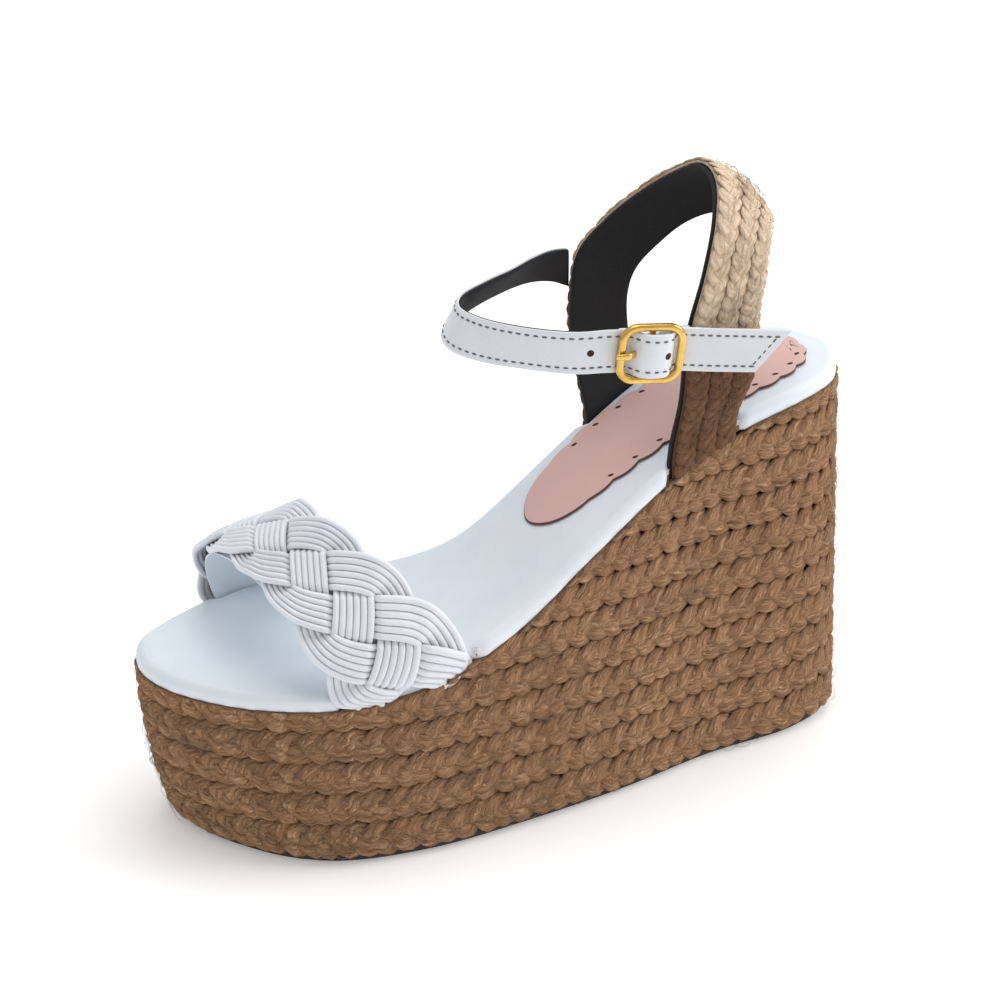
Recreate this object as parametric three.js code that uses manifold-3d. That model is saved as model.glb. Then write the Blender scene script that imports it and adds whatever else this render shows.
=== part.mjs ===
// Left wedge sandal: a jute-wrapped wedge, a leather footbed, a plaited cord vamp,
// a plaited heel strap and a buckled ankle strap. Millimetres, +Z up.
// The toe points to -X, the outer (buckle) side is -Y, and the outsole stands on z = 0.

import * as THREE from 'three';
import { mergeVertices } from 'three/addons/utils/BufferGeometryUtils.js';
import Module from 'manifold-3d';

const wasm = await Module();
wasm.setup();

// ---------------------------------------------------------------- driving dimensions

const GAP = 0.3; // left between pieces that touch

// sole in plan
const SOLE_LENGTH = 225;
const HEEL_WIDTH = 50;
const WAIST_WIDTH = 51;
const BALL_WIDTH = 78;
const PLAN_STEPS = 44;

// sole in side view
const HEEL_HEIGHT = 122;
const PLATFORM_HEIGHT = 58;
const TOE_TUCK = 10; // how far the toe curves back under at the ground
const HEEL_FLARE = 3; // how far the heel's back runs out at the ground
const OUTSOLE_THICKNESS = 3;
const COURSE_PITCH = 10.65; // height of one course of the jute wrap
const JUTE_WALL = 4.5;
const JUTE_PROUD = 0.8; // the wrap stands this far outside the footbed's rim

// footbed
const RIM_HEIGHT = 5;
const COVER_THICKNESS = 1.2;
const FOAM_THICKNESS = 1.5;
const SOCK_THICKNESS = 1;
const SOCK_LENGTH = 97;
const SOCK_WIDTH = 33;
const SOCK_FROM_HEEL = 9.5;
const SCALLOP_PITCH = 8.5;
const SCALLOP_DEPTH = 1.2;

// vamp braid
const BRAID_STRANDS = 4;
const BRAID_REACH = 15; // a strand's centre swings this far to each side
const BRAID_PITCH = 72; // length along the braid of one full swing
const BRAID_HALF_WIDTH = 21;
const STRAND_WIDTH = 7.5;
const STRAND_THICKNESS = 1.4;
const STRAND_STEPS = 96;
const VAMP_LINING = 0.8;
const VAMP_RISE = 36.5; // height of the arch over its feet, at the middle of the braid

// heel strap
const HEEL_STRAP_JUTE = 3.2;
const HEEL_STRAP_LINING = 0.8;
const HEEL_STRAP_STEPS = 60;
const HEEL_STRAP_ACROSS = 4;
const HEEL_STRAP_CROWN = 3.5; // the plait is this much rounder at the heel's back
const HEEL_STRAP_GAP = 0.8; // under the plait, which twists as it turns round the heel

// ankle strap and buckle
const STRAP_WIDTH = 13.5;
const STRAP_LEATHER = 0.9;
const STRAP_LINING = 0.6;
const STRAP_STEPS = 44;
const TAIL_STEPS = 34;
const HOLE_PITCH = 11;
const HOLE_RADIUS = 1.1;
const BUCKLE_LENGTH = 20.5;
const BUCKLE_HEIGHT = 18.7;
const BUCKLE_WIRE = 2.2; // width of the frame's wire, seen from outside
const BUCKLE_DEPTH = 2.2; // its thickness
const BUCKLE_CORNER = 5.5;
const WINDOW_CORNER = 2;
const BAR_RADIUS = 1;
const BAR_DROP = 1; // the centre bar sits this far inside the frame's middle plane
const PRONG_WIDTH = 2.2;
const PRONG_THICKNESS = 1.2;
const EYE_WALL = 0.8;
const EYE_CLEARANCE = 0.25;
const CHAPE_WIDTH = 11;
const BUCKLE_YAW = THREE.MathUtils.degToRad(6);
const BUCKLE_PITCH = THREE.MathUtils.degToRad(6.5);

// materials
const JUTE = new THREE.MeshStandardMaterial({ color: 0xa57d5a, roughness: 0.95 });
const JUTE_STRAP = new THREE.MeshStandardMaterial({ color: 0xb08a64, roughness: 0.95 });
const WHITE_LEATHER = new THREE.MeshStandardMaterial({ color: 0xe1e8f0, roughness: 0.45 });
const WHITE_CORD = new THREE.MeshStandardMaterial({ color: 0xe8ecf2, roughness: 0.4 });
const BLACK_LINING = new THREE.MeshStandardMaterial({ color: 0x15151a, roughness: 0.8 });
const PINK_SOCK = new THREE.MeshStandardMaterial({ color: 0xe1aaa0, roughness: 0.6 });
const CORE_FOAM = new THREE.MeshStandardMaterial({ color: 0xc9b79a, roughness: 0.9 });
const BOARD = new THREE.MeshStandardMaterial({ color: 0x8a6b4a, roughness: 0.9 });
const RUBBER = new THREE.MeshStandardMaterial({ color: 0x2b211b, roughness: 0.85 });
const GOLD = new THREE.MeshStandardMaterial({ color: 0xc89632, roughness: 0.25, metalness: 1 });

const sandal = new THREE.Group();

// ---------------------------------------------------------------- solids and joins

function asSolid(geometry) {
  const plain = geometry.clone();
  plain.deleteAttribute('normal');
  plain.deleteAttribute('uv');
  const merged = mergeVertices(plain, 1e-4);
  const vertProperties = new Float32Array(merged.attributes.position.array);
  const triVerts = new Uint32Array(merged.index.array);
  return new wasm.Manifold(new wasm.Mesh({ numProp: 3, vertProperties, triVerts }));
}

function asGeometry(solid) {
  const { vertProperties, triVerts } = solid.getMesh();
  const geometry = new THREE.BufferGeometry();
  geometry.setAttribute('position', new THREE.BufferAttribute(vertProperties, 3));
  geometry.setIndex(new THREE.BufferAttribute(triVerts, 1));
  geometry.computeVertexNormals();
  return geometry;
}

function add(name, geometry, material, group = sandal) {
  const mesh = new THREE.Mesh(geometry, material);
  mesh.name = name;
  group.add(mesh);
  return mesh;
}

function moveVertices(geometry, move) {
  const position = geometry.attributes.position;
  const point = new THREE.Vector3();
  for (let i = 0; i < position.count; i += 1) {
    point.fromBufferAttribute(position, i);
    move(point);
    position.setXYZ(i, point.x, point.y, point.z);
  }
  return geometry;
}

// Turns every face round if a bend has left the solid inside out.
function facedOutwards(geometry) {
  const position = geometry.attributes.position;
  const order = geometry.index.array;
  const [a, b, c] = [new THREE.Vector3(), new THREE.Vector3(), new THREE.Vector3()];
  let volume = 0;
  for (let i = 0; i < order.length; i += 3) {
    a.fromBufferAttribute(position, order[i]);
    b.fromBufferAttribute(position, order[i + 1]);
    c.fromBufferAttribute(position, order[i + 2]);
    volume += a.dot(b.cross(c));
  }
  if (volume < 0) {
    order.reverse();
  }
  return geometry;
}

// A box bent along a path: place(along 0..1, across -0.5..0.5, through -0.5..0.5).
function bentBox(steps, place, across = 1) {
  const box = new THREE.BoxGeometry(1, 1, 1, steps, across, 1);
  moveVertices(box, (point) => point.copy(place(point.x + 0.5, point.y, point.z)));
  return facedOutwards(box);
}

// ---------------------------------------------------------------- the sole's outline

const HEEL_X = SOLE_LENGTH / 2;

// Stations from the heel's back (0) to the toe's tip (1): place, centre line, width.
const STATIONS = [
  [0.012, 2.5, 0.37 * HEEL_WIDTH],
  [0.036, 2.8, 0.69 * HEEL_WIDTH],
  [0.1, 1.8, 0.93 * HEEL_WIDTH],
  [0.222, 0, HEEL_WIDTH],
  [0.378, -8.8, 0.96 * WAIST_WIDTH],
  [0.533, -12.6, 1.02 * WAIST_WIDTH],
  [0.667, -6, 0.9 * BALL_WIDTH],
  [0.791, 1.5, BALL_WIDTH],
  [0.889, 2.9, 0.78 * BALL_WIDTH],
  [0.951, 5.5, 0.53 * BALL_WIDTH],
  [0.987, 8, 0.29 * BALL_WIDTH],
];
const HEEL_TIP_Y = 2;
const TOE_TIP_Y = 8.5;

function planCurve() {
  const at = (along, y) => new THREE.Vector3(HEEL_X - along * SOLE_LENGTH, y, 0);
  const inner = STATIONS.map(([along, centre, width]) => at(along, centre + width / 2));
  const outer = STATIONS.map(([along, centre, width]) => at(along, centre - width / 2));
  const points = [at(0, HEEL_TIP_Y), ...inner, at(1, TOE_TIP_Y), ...outer.reverse()];
  return new THREE.CatmullRomCurve3(points, true, 'centripetal');
}

const RIM_PLAN = planCurve();
const RIM_SAMPLES = RIM_PLAN.getSpacedPoints(400);

// The rim's y at a given x, on the outer (-1) or inner (+1) side.
function rimY(x, side) {
  for (let i = 0; i + 1 < RIM_SAMPLES.length; i += 1) {
    const a = RIM_SAMPLES[i];
    const b = RIM_SAMPLES[i + 1];
    const isSide = side > 0 ? b.x < a.x : b.x > a.x;
    if (isSide && (a.x - x) * (b.x - x) <= 0) {
      return THREE.MathUtils.lerp(a.y, b.y, (x - a.x) / (b.x - a.x));
    }
  }
  return HEEL_TIP_Y;
}

// The outline moved inwards, as points counter-clockwise from above.
function planPoints(inset) {
  const points = [];
  for (let i = 0; i < PLAN_STEPS; i += 1) {
    const along = i / PLAN_STEPS;
    const point = RIM_PLAN.getPointAt(along);
    const tangent = RIM_PLAN.getTangentAt(along);
    points.push(new THREE.Vector2(point.x - tangent.y * inset, point.y + tangent.x * inset));
  }
  return points;
}

function prism(points, bottom, top, holePoints = null, steps = 1) {
  const shape = new THREE.Shape(points);
  if (holePoints) {
    shape.holes.push(new THREE.Path(holePoints));
  }
  const options = { depth: top - bottom, steps, bevelEnabled: false };
  return new THREE.ExtrudeGeometry(shape, options).translate(0, 0, bottom);
}

// The toe's front curves back under the platform, and the heel's back flares out.
function shapedWall(geometry) {
  return moveVertices(geometry, (point) => {
    const underPlatform = THREE.MathUtils.clamp(1 - point.z / PLATFORM_HEIGHT, 0, 1);
    const underHeel = THREE.MathUtils.clamp(1 - point.z / HEEL_HEIGHT, 0, 1);
    const toeward = THREE.MathUtils.smoothstep(-point.x, 0.25 * SOLE_LENGTH, 0.5 * SOLE_LENGTH);
    const heelward = THREE.MathUtils.smoothstep(point.x, 0.25 * SOLE_LENGTH, 0.5 * SOLE_LENGTH);
    point.x += TOE_TUCK * underPlatform ** 2 * toeward + HEEL_FLARE * underHeel * heelward;
  });
}

// ---------------------------------------------------------------- the footbed's profile

// Rise of the footbed from platform (0) to heel seat (1), at places from heel to toe.
const RISE = [
  [-0.03, 1], [0.107, 0.977], [0.222, 0.883], [0.333, 0.734], [0.444, 0.5],
  [0.556, 0.234], [0.667, 0.07], [0.778, 0.008], [0.889, 0], [1.03, 0],
];
const PROFILE = new THREE.SplineCurve(
  RISE.map(([along, rise]) => new THREE.Vector2(
    HEEL_X - along * SOLE_LENGTH,
    PLATFORM_HEIGHT + rise * (HEEL_HEIGHT - PLATFORM_HEIGHT),
  )),
);
const PROFILE_STEPS = 36;
const BLOCK_HALF_WIDTH = BALL_WIDTH;

function profileLine(depth) {
  const points = [];
  for (let i = 0; i <= PROFILE_STEPS; i += 1) {
    const point = PROFILE.getPoint(i / PROFILE_STEPS);
    const tangent = PROFILE.getTangent(i / PROFILE_STEPS);
    points.push(new THREE.Vector2(point.x - tangent.y * depth, point.y + tangent.x * depth));
  }
  return points;
}

const TOP_SAMPLES = PROFILE.getSpacedPoints(300);

function topZ(x) {
  const next = TOP_SAMPLES.findIndex((sample) => sample.x <= x);
  if (next <= 0) {
    return next === 0 ? TOP_SAMPLES[0].y : TOP_SAMPLES.at(-1).y;
  }
  const a = TOP_SAMPLES[next - 1];
  const b = TOP_SAMPLES[next];
  return THREE.MathUtils.lerp(a.y, b.y, (x - a.x) / (b.x - a.x));
}

// A block across the whole width, between two depths under the footbed's top.
function layer(upperDepth, lowerDepth) {
  const outline = [...profileLine(upperDepth), ...profileLine(lowerDepth).reverse()];
  return acrossBlock(outline);
}

function belowLayer(depth) {
  const line = profileLine(depth);
  const low = -GAP;
  const outline = [...line, new THREE.Vector2(line.at(-1).x, low), new THREE.Vector2(line[0].x, low)];
  return acrossBlock(outline);
}

function acrossBlock(outline) {
  const options = { depth: 2 * BLOCK_HALF_WIDTH, bevelEnabled: false };
  const geometry = new THREE.ExtrudeGeometry(new THREE.Shape(outline), options);
  return asSolid(geometry.rotateX(Math.PI / 2).translate(0, BLOCK_HALF_WIDTH, 0));
}

function planSolid(inset) {
  return asSolid(prism(planPoints(inset), 0, 2 * HEEL_HEIGHT));
}

// ---------------------------------------------------------------- wedge and jute wrap

const WRAP_BOTTOM = OUTSOLE_THICKNESS + GAP;
const WRAP_TOP = HEEL_HEIGHT - RIM_HEIGHT - GAP;
const COURSES = Math.ceil((WRAP_TOP - WRAP_BOTTOM) / COURSE_PITCH);
const CORE_INSET = JUTE_WALL + GAP - JUTE_PROUD;
const UNDER_RIM = belowLayer(RIM_HEIGHT + GAP);

function outsole() {
  return shapedWall(prism(planPoints(-JUTE_PROUD), 0, OUTSOLE_THICKNESS));
}

function wedgeCore() {
  const top = WRAP_BOTTOM + COURSES * COURSE_PITCH;
  const block = shapedWall(prism(planPoints(CORE_INSET), WRAP_BOTTOM, top, null, COURSES));
  return asGeometry(asSolid(block).intersect(UNDER_RIM));
}

function juteCourse(index) {
  const bottom = WRAP_BOTTOM + index * COURSE_PITCH;
  const outer = planPoints(-JUTE_PROUD);
  const hole = planPoints(CORE_INSET - GAP);
  const ring = shapedWall(prism(outer, bottom, bottom + COURSE_PITCH - GAP, hole));
  return asGeometry(asSolid(ring).intersect(UNDER_RIM));
}

add('outsole', outsole(), RUBBER);
add('wedge_core', wedgeCore(), CORE_FOAM);
for (let index = 0; index < COURSES; index += 1) {
  add(`jute_course_${String(index + 1).padStart(2, '0')}`, juteCourse(index), JUTE);
}

// ---------------------------------------------------------------- strap surfaces

// A ribbon between two edges whose control points answer each other one by one.
// Half way along, it bulges outwards between the edges by its crown.
class Ribbon {
  constructor(upper, lower, crown = 0) {
    this.upper = new THREE.CatmullRomCurve3(upper, false, 'centripetal');
    this.lower = new THREE.CatmullRomCurve3(lower, false, 'centripetal');
    this.last = upper.length - 1;
    this.crown = crown;
  }

  flatPoint(along, across) {
    return this.lower.getPoint(along).lerp(this.upper.getPoint(along), across + 0.5);
  }

  point(along, across) {
    const bulge = this.crown * Math.sin(Math.PI * along) ** 4 * (1 - 4 * across ** 2);
    const flat = this.flatPoint(along, across);
    if (bulge === 0) {
      return flat;
    }
    return flat.addScaledVector(this.slopeNormal(along, 0, 0.5, this.flatPoint), bulge);
  }

  // The normal of one of the two surfaces, from its rise along and across a place.
  slopeNormal(along, across, reach, surface) {
    const step = 0.01;
    const before = surface.call(this, Math.max(along - step, 0), across);
    const after = surface.call(this, Math.min(along + step, 1), across);
    const low = surface.call(this, along, across - reach);
    const high = surface.call(this, along, across + reach);
    return after.sub(before).cross(high.sub(low)).normalize();
  }

  normal(along, across) {
    return this.slopeNormal(along, across, 0.05, this.point);
  }

  // A solid between two heights over the ribbon, from start to end along it.
  solid(steps, start, end, inside, outside, across = 1, extra = 0) {
    return bentBox(steps, (a, b, c) => {
      const along = THREE.MathUtils.lerp(start, end, a);
      const height = THREE.MathUtils.lerp(inside, outside, c + 0.5);
      const width = this.point(along, 0.5).distanceTo(this.point(along, -0.5));
      const point = this.point(along, b * (1 + (2 * extra) / width));
      return point.addScaledVector(this.normal(along, b), height);
    }, across);
  }
}

// A place near the heel: distance from the heel's back, y, height over the heel seat.
function heelPoint(fromHeel, y, over) {
  return new THREE.Vector3(HEEL_X - fromHeel, y, HEEL_HEIGHT + over);
}

// ---------------------------------------------------------------- heel strap

const STRAP_FOOT_INSET = 0.5; // the strap's middle surface, inside the rim at its feet
const FOOT_DEPTH = 12; // the feet are drawn this far under the footbed and cut off there

function strapFoot(fromHeel, side) {
  const x = HEEL_X - fromHeel;
  return new THREE.Vector3(x, rimY(x, side) - side * STRAP_FOOT_INSET, topZ(x) - FOOT_DEPTH);
}

function strapAnkle(fromHeel, side) {
  const foot = strapFoot(fromHeel, side);
  return foot.setZ(foot.z + FOOT_DEPTH + 2);
}

const HEEL_STRAP = new Ribbon(
  [
    strapFoot(69, -1), strapAnkle(69, -1),
    heelPoint(67.5, -31.5, 6), heelPoint(66, -32, 28), heelPoint(61, -31, 46),
    heelPoint(55.5, -26, 61), heelPoint(50, -14, 69), heelPoint(49, -2, 69.5),
    heelPoint(53, 9, 63), heelPoint(60, 18, 54), heelPoint(68, 23, 45),
    heelPoint(76, 25, 35), heelPoint(78, 26, 22), heelPoint(78, 26, 6),
    strapAnkle(77, 1), strapFoot(77, 1),
  ],
  [
    strapFoot(45, -1), strapAnkle(45, -1),
    heelPoint(43.5, -31, 12), heelPoint(42, -31, 32), heelPoint(39.5, -29.5, 44),
    heelPoint(36, -24, 51), heelPoint(31, -14, 52), heelPoint(33, -3, 51),
    heelPoint(39, 5, 49), heelPoint(45, 12, 44), heelPoint(51.5, 18, 36),
    heelPoint(57, 22.5, 28), heelPoint(59, 25.5, 19), heelPoint(58.5, 27, 6),
    strapAnkle(58, 1), strapFoot(58, 1),
  ],
  HEEL_STRAP_CROWN,
);
const JUTE_INSIDE = -1;
const JUTE_OUTSIDE = JUTE_INSIDE + HEEL_STRAP_JUTE;
const LINING_OUTSIDE = JUTE_INSIDE - HEEL_STRAP_GAP;
const LINING_INSIDE = LINING_OUTSIDE - HEEL_STRAP_LINING;

const OVER_RIM_BOTTOM = layer(-2 * HEEL_HEIGHT, RIM_HEIGHT);

function trimmedFeet(geometry) {
  return asGeometry(asSolid(geometry).intersect(OVER_RIM_BOTTOM));
}

function heelStrapLayer(inside, outside) {
  const whole = HEEL_STRAP.solid(HEEL_STRAP_STEPS, 0, 1, inside, outside, HEEL_STRAP_ACROSS);
  return trimmedFeet(whole);
}

add('heel_strap_jute', heelStrapLayer(JUTE_INSIDE, JUTE_OUTSIDE), JUTE_STRAP);
add('heel_strap_lining', heelStrapLayer(LINING_INSIDE, LINING_OUTSIDE), BLACK_LINING);

// ---------------------------------------------------------------- vamp braid

const VAMP_OUTER_X = -45;
const VAMP_INNER_X = -58;
const VAMP_FOOT_INSET = 2;
const VAMP_LEAN = -20;
const VAMP_LEAN_ACROSS = -0.38;
const VAMP_RISE_ACROSS = 0.17;
const VAMP_FULLNESS = 0.92;
const BRAID_PHASE = -0.16;

// The arch under the braid: across is measured from its middle, + towards the ankle.
function archPoint(across, turn) {
  const outerX = VAMP_OUTER_X + across;
  const innerX = VAMP_INNER_X + across;
  const outer = new THREE.Vector3(
    outerX, rimY(outerX, -1) + VAMP_FOOT_INSET, topZ(outerX) - RIM_HEIGHT + GAP,
  );
  const inner = new THREE.Vector3(
    innerX, rimY(innerX, 1) - VAMP_FOOT_INSET, topZ(innerX) - RIM_HEIGHT + GAP,
  );
  const inside = THREE.MathUtils.clamp(turn, 0, 1);
  const swing = 0.5 - 0.5 * Math.cos(Math.PI * inside);
  const lift = Math.sin(Math.PI * inside) ** VAMP_FULLNESS;
  const point = outer.lerp(inner, swing);
  point.x += (VAMP_LEAN + VAMP_LEAN_ACROSS * across) * lift;
  point.z += (VAMP_RISE + VAMP_RISE_ACROSS * across) * lift;
  point.z -= Math.abs(turn - inside) * FOOT_DEPTH * 10;
  return point;
}

const ARCH_SAMPLES = 400;
const ARCH_LENGTHS = [0];
for (let i = 1; i <= ARCH_SAMPLES; i += 1) {
  const from = archPoint(0, (i - 1) / ARCH_SAMPLES);
  const to = archPoint(0, i / ARCH_SAMPLES);
  ARCH_LENGTHS.push(ARCH_LENGTHS[i - 1] + from.distanceTo(to));
}
const ARCH_LENGTH = ARCH_LENGTHS.at(-1);

function archAt(across, along) {
  const next = ARCH_LENGTHS.findIndex((length) => length >= along);
  if (along <= 0 || next < 0) {
    const beyond = along <= 0 ? along : along - ARCH_LENGTH;
    return archPoint(across, (along <= 0 ? 0 : 1) + beyond / (FOOT_DEPTH * 10));
  }
  const a = ARCH_LENGTHS[next - 1];
  const share = (along - a) / (ARCH_LENGTHS[next] - a);
  return archPoint(across, (next - 1 + share) / ARCH_SAMPLES);
}

function archNormal(across, along) {
  const step = 0.6;
  const right = archAt(across + step, along).sub(archAt(across - step, along));
  const onward = archAt(across, along + step).sub(archAt(across, along - step));
  return right.cross(onward).normalize();
}

function vampPlace(across, along, height) {
  return archAt(across, along).addScaledVector(archNormal(across, along), height);
}

const FOOT_TAIL = 4; // the lining's feet run this far past the arch and are cut off

function vampLining() {
  const geometry = bentBox(40, (a, b, c) => vampPlace(
    -b * 2 * BRAID_HALF_WIDTH,
    THREE.MathUtils.lerp(-FOOT_TAIL, ARCH_LENGTH + FOOT_TAIL, a),
    c * VAMP_LINING,
  ), 4);
  return trimmedFeet(geometry);
}

// Over (+1) or under (-1) along one full swing: a strand crosses the other three
// strands at each eighth, over and under by turns, and changes level between them.
function weave(phase) {
  const p = THREE.MathUtils.euclideanModulo(phase, 1);
  const eighth = 1 / 8;
  let wave = Math.cos(8 * Math.PI * p);
  if (p < eighth || p > 1 - eighth) {
    wave = -Math.sin(4 * Math.PI * p);
  } else if (Math.abs(p - 0.5) < eighth) {
    wave = Math.sin(4 * Math.PI * (p - 0.5));
  } else if (p > 0.5) {
    wave = -wave;
  }
  return -THREE.MathUtils.clamp(2.6 * wave, -1, 1);
}

const UNDER_LEVEL = VAMP_LINING / 2 + GAP + STRAND_THICKNESS / 2;
const OVER_LEVEL = UNDER_LEVEL + STRAND_THICKNESS + GAP;
const STRAND_END = 2; // the strands stop this far above the arch's feet

function vampStrand(index) {
  const turn = 2 * Math.PI;
  const geometry = bentBox(STRAND_STEPS, (a, b, c) => {
    const along = THREE.MathUtils.lerp(STRAND_END, ARCH_LENGTH - STRAND_END, a);
    const phase = along / BRAID_PITCH + index / BRAID_STRANDS + BRAID_PHASE;
    const slope = -BRAID_REACH * Math.sin(turn * phase) * (turn / BRAID_PITCH);
    const across = BRAID_REACH * Math.cos(turn * phase);
    const side = (-b * STRAND_WIDTH) / Math.hypot(1, slope);
    const level = THREE.MathUtils.mapLinear(weave(phase), -1, 1, UNDER_LEVEL, OVER_LEVEL);
    return vampPlace(across + side, along - side * slope, level + c * STRAND_THICKNESS);
  });
  return trimmedFeet(geometry);
}

add('vamp_lining', vampLining(), WHITE_LEATHER);
for (let index = 0; index < BRAID_STRANDS; index += 1) {
  add(`vamp_strand_${index + 1}`, vampStrand(index), WHITE_CORD);
}

// ---------------------------------------------------------------- footbed

// Each strap foot sits in a notch pressed into the rim.
function footNotches() {
  const inside = LINING_INSIDE - GAP;
  const outside = JUTE_OUTSIDE + 4 * GAP;
  const last = HEEL_STRAP.last;
  const heelOuter = HEEL_STRAP.solid(8, 0, 2 / last, inside, outside, 1, GAP);
  const heelInner = HEEL_STRAP.solid(8, 1 - 2 / last, 1, inside, outside, 1, GAP);
  const vampFoot = (start, end) => bentBox(8, (a, b, c) => vampPlace(
    -b * 2 * (BRAID_HALF_WIDTH + GAP),
    THREE.MathUtils.lerp(start, end, a),
    THREE.MathUtils.lerp(-VAMP_LINING / 2 - GAP, 3 * OVER_LEVEL, c + 0.5),
  ), 4);
  const reach = 2 * RIM_HEIGHT;
  const vampOuter = vampFoot(-FOOT_DEPTH, reach);
  const vampInner = vampFoot(ARCH_LENGTH - reach, ARCH_LENGTH + FOOT_DEPTH);
  return [heelOuter, heelInner, vampOuter, vampInner].map(asSolid);
}

const NOTCHES = footNotches();

function notched(solid) {
  return NOTCHES.reduce((rest, notch) => rest.subtract(notch), solid);
}

const FOAM_TOP = COVER_THICKNESS + GAP;
const BOARD_TOP = FOAM_TOP + FOAM_THICKNESS + GAP;
const INSIDE_COVER = COVER_THICKNESS + GAP;

function footbedCover() {
  const block = planSolid(0).intersect(layer(0, RIM_HEIGHT));
  const hollow = planSolid(COVER_THICKNESS).intersect(layer(COVER_THICKNESS, RIM_HEIGHT + GAP));
  return asGeometry(notched(block.subtract(hollow)));
}

function footbedFoam() {
  const slab = planSolid(INSIDE_COVER).intersect(layer(FOAM_TOP, FOAM_TOP + FOAM_THICKNESS));
  return asGeometry(notched(slab));
}

function insoleBoard() {
  const slab = planSolid(INSIDE_COVER).intersect(layer(BOARD_TOP, RIM_HEIGHT));
  return asGeometry(notched(slab));
}

// The sock's edge: a stadium with scallops that fade out round its smooth front end.
function sockOutline() {
  const half = SOCK_WIDTH / 2;
  const back = HEEL_X - SOCK_FROM_HEEL;
  const front = back - SOCK_LENGTH;
  const middle = (x) => THREE.MathUtils.mapLinear(x, front, back, -7.5, 3.2);
  const at = (x, share) => new THREE.Vector3(x, middle(x) + share * half, 0);
  const side = (sign) => [
    at(back - 3, 0.55 * sign), at(back - 14, 0.95 * sign), at(back - 40, sign),
    at(front + 22, 0.93 * sign), at(front + 5, 0.6 * sign),
  ];
  const points = [at(back, 0), ...side(1), at(front, 0), ...side(-1).reverse()];
  const edge = new THREE.CatmullRomCurve3(points, true, 'centripetal');
  const scallops = Math.round(edge.getLength() / SCALLOP_PITCH);
  const perScallop = 4;
  const outline = [];
  for (let i = 0; i < scallops * perScallop; i += 1) {
    const along = i / (scallops * perScallop);
    const point = edge.getPointAt(along);
    const tangent = edge.getTangentAt(along);
    const fade = THREE.MathUtils.smoothstep(point.x, front + 8, front + 22);
    const bulge = SCALLOP_DEPTH * fade * (Math.abs(Math.sin(Math.PI * along * scallops)) - 1);
    outline.push(new THREE.Vector2(point.x + tangent.y * bulge, point.y - tangent.x * bulge));
  }
  return outline;
}

function heelSock() {
  const slab = layer(-GAP - SOCK_THICKNESS, -GAP);
  return asGeometry(asSolid(prism(sockOutline(), 0, 2 * HEEL_HEIGHT)).intersect(slab));
}

add('insole_board', insoleBoard(), BOARD);
add('footbed_foam', footbedFoam(), CORE_FOAM);
add('footbed_cover', footbedCover(), WHITE_LEATHER);
add('heel_sock', heelSock(), PINK_SOCK);

// ---------------------------------------------------------------- buckle

// The buckle's own axes: x along the strap towards the heel, y along the bar, z outwards.
const ALONG = new THREE.Vector3(
  Math.cos(BUCKLE_YAW) * Math.cos(BUCKLE_PITCH),
  -Math.sin(BUCKLE_YAW) * Math.cos(BUCKLE_PITCH),
  -Math.sin(BUCKLE_PITCH),
);
const OUTWARD = new THREE.Vector3(-Math.sin(BUCKLE_YAW), -Math.cos(BUCKLE_YAW), 0);
const BAR_AXIS = new THREE.Vector3().crossVectors(OUTWARD, ALONG);

const TAIL_THICKNESS = STRAP_LEATHER + GAP + STRAP_LINING;
const SIDE_BAR = BUCKLE_LENGTH / 2 - BUCKLE_WIRE / 2;
const NEAR_SIDE_Y = -32;
const UNDER_BAR = -(BUCKLE_DEPTH / 2 + 2 * GAP + TAIL_THICKNESS / 2);
const EYE_RADIUS = BAR_RADIUS + EYE_CLEARANCE + EYE_WALL;
const OVER_BAR = -BAR_DROP + EYE_RADIUS + GAP + TAIL_THICKNESS / 2;
const BUCKLE_Y = NEAR_SIDE_Y - JUTE_OUTSIDE - 2 * GAP + UNDER_BAR - TAIL_THICKNESS / 2
  + SIDE_BAR * Math.sin(BUCKLE_YAW);
const BUCKLE_AT = heelPoint(80.8, BUCKLE_Y, 27.9);

const closure = new THREE.Group();
closure.position.copy(BUCKLE_AT);
closure.setRotationFromMatrix(new THREE.Matrix4().makeBasis(ALONG, BAR_AXIS, OUTWARD));
closure.updateMatrixWorld();
sandal.add(closure);

function roundedRectangle(width, height, radius) {
  const x = width / 2;
  const y = height / 2;
  const shape = new THREE.Shape();
  shape.absarc(x - radius, y - radius, radius, 0, Math.PI / 2);
  shape.absarc(-x + radius, y - radius, radius, Math.PI / 2, Math.PI);
  shape.absarc(-x + radius, -y + radius, radius, Math.PI, 1.5 * Math.PI);
  shape.absarc(x - radius, -y + radius, radius, 1.5 * Math.PI, 2 * Math.PI);
  return shape;
}

function buckleFrame() {
  const outline = roundedRectangle(BUCKLE_LENGTH, BUCKLE_HEIGHT, BUCKLE_CORNER);
  const window = roundedRectangle(
    BUCKLE_LENGTH - 2 * BUCKLE_WIRE, BUCKLE_HEIGHT - 2 * BUCKLE_WIRE, WINDOW_CORNER,
  );
  outline.holes.push(window);
  const options = { depth: BUCKLE_DEPTH, bevelEnabled: false, curveSegments: 5 };
  const ring = new THREE.ExtrudeGeometry(outline, options).translate(0, 0, -BUCKLE_DEPTH / 2);
  const barLength = BUCKLE_HEIGHT - BUCKLE_WIRE;
  const bar = new THREE.CylinderGeometry(BAR_RADIUS, BAR_RADIUS, barLength, 12);
  bar.translate(0, 0, -BAR_DROP);
  return asGeometry(asSolid(ring).add(asSolid(bar)));
}

// A flat piece that lies in the plane across the bar, as wide as given along the bar.
function acrossBar(shape, width) {
  const options = { depth: width, bevelEnabled: false, curveSegments: 8 };
  const geometry = new THREE.ExtrudeGeometry(shape, options);
  return geometry.rotateX(Math.PI / 2).translate(0, width / 2, 0);
}

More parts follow.
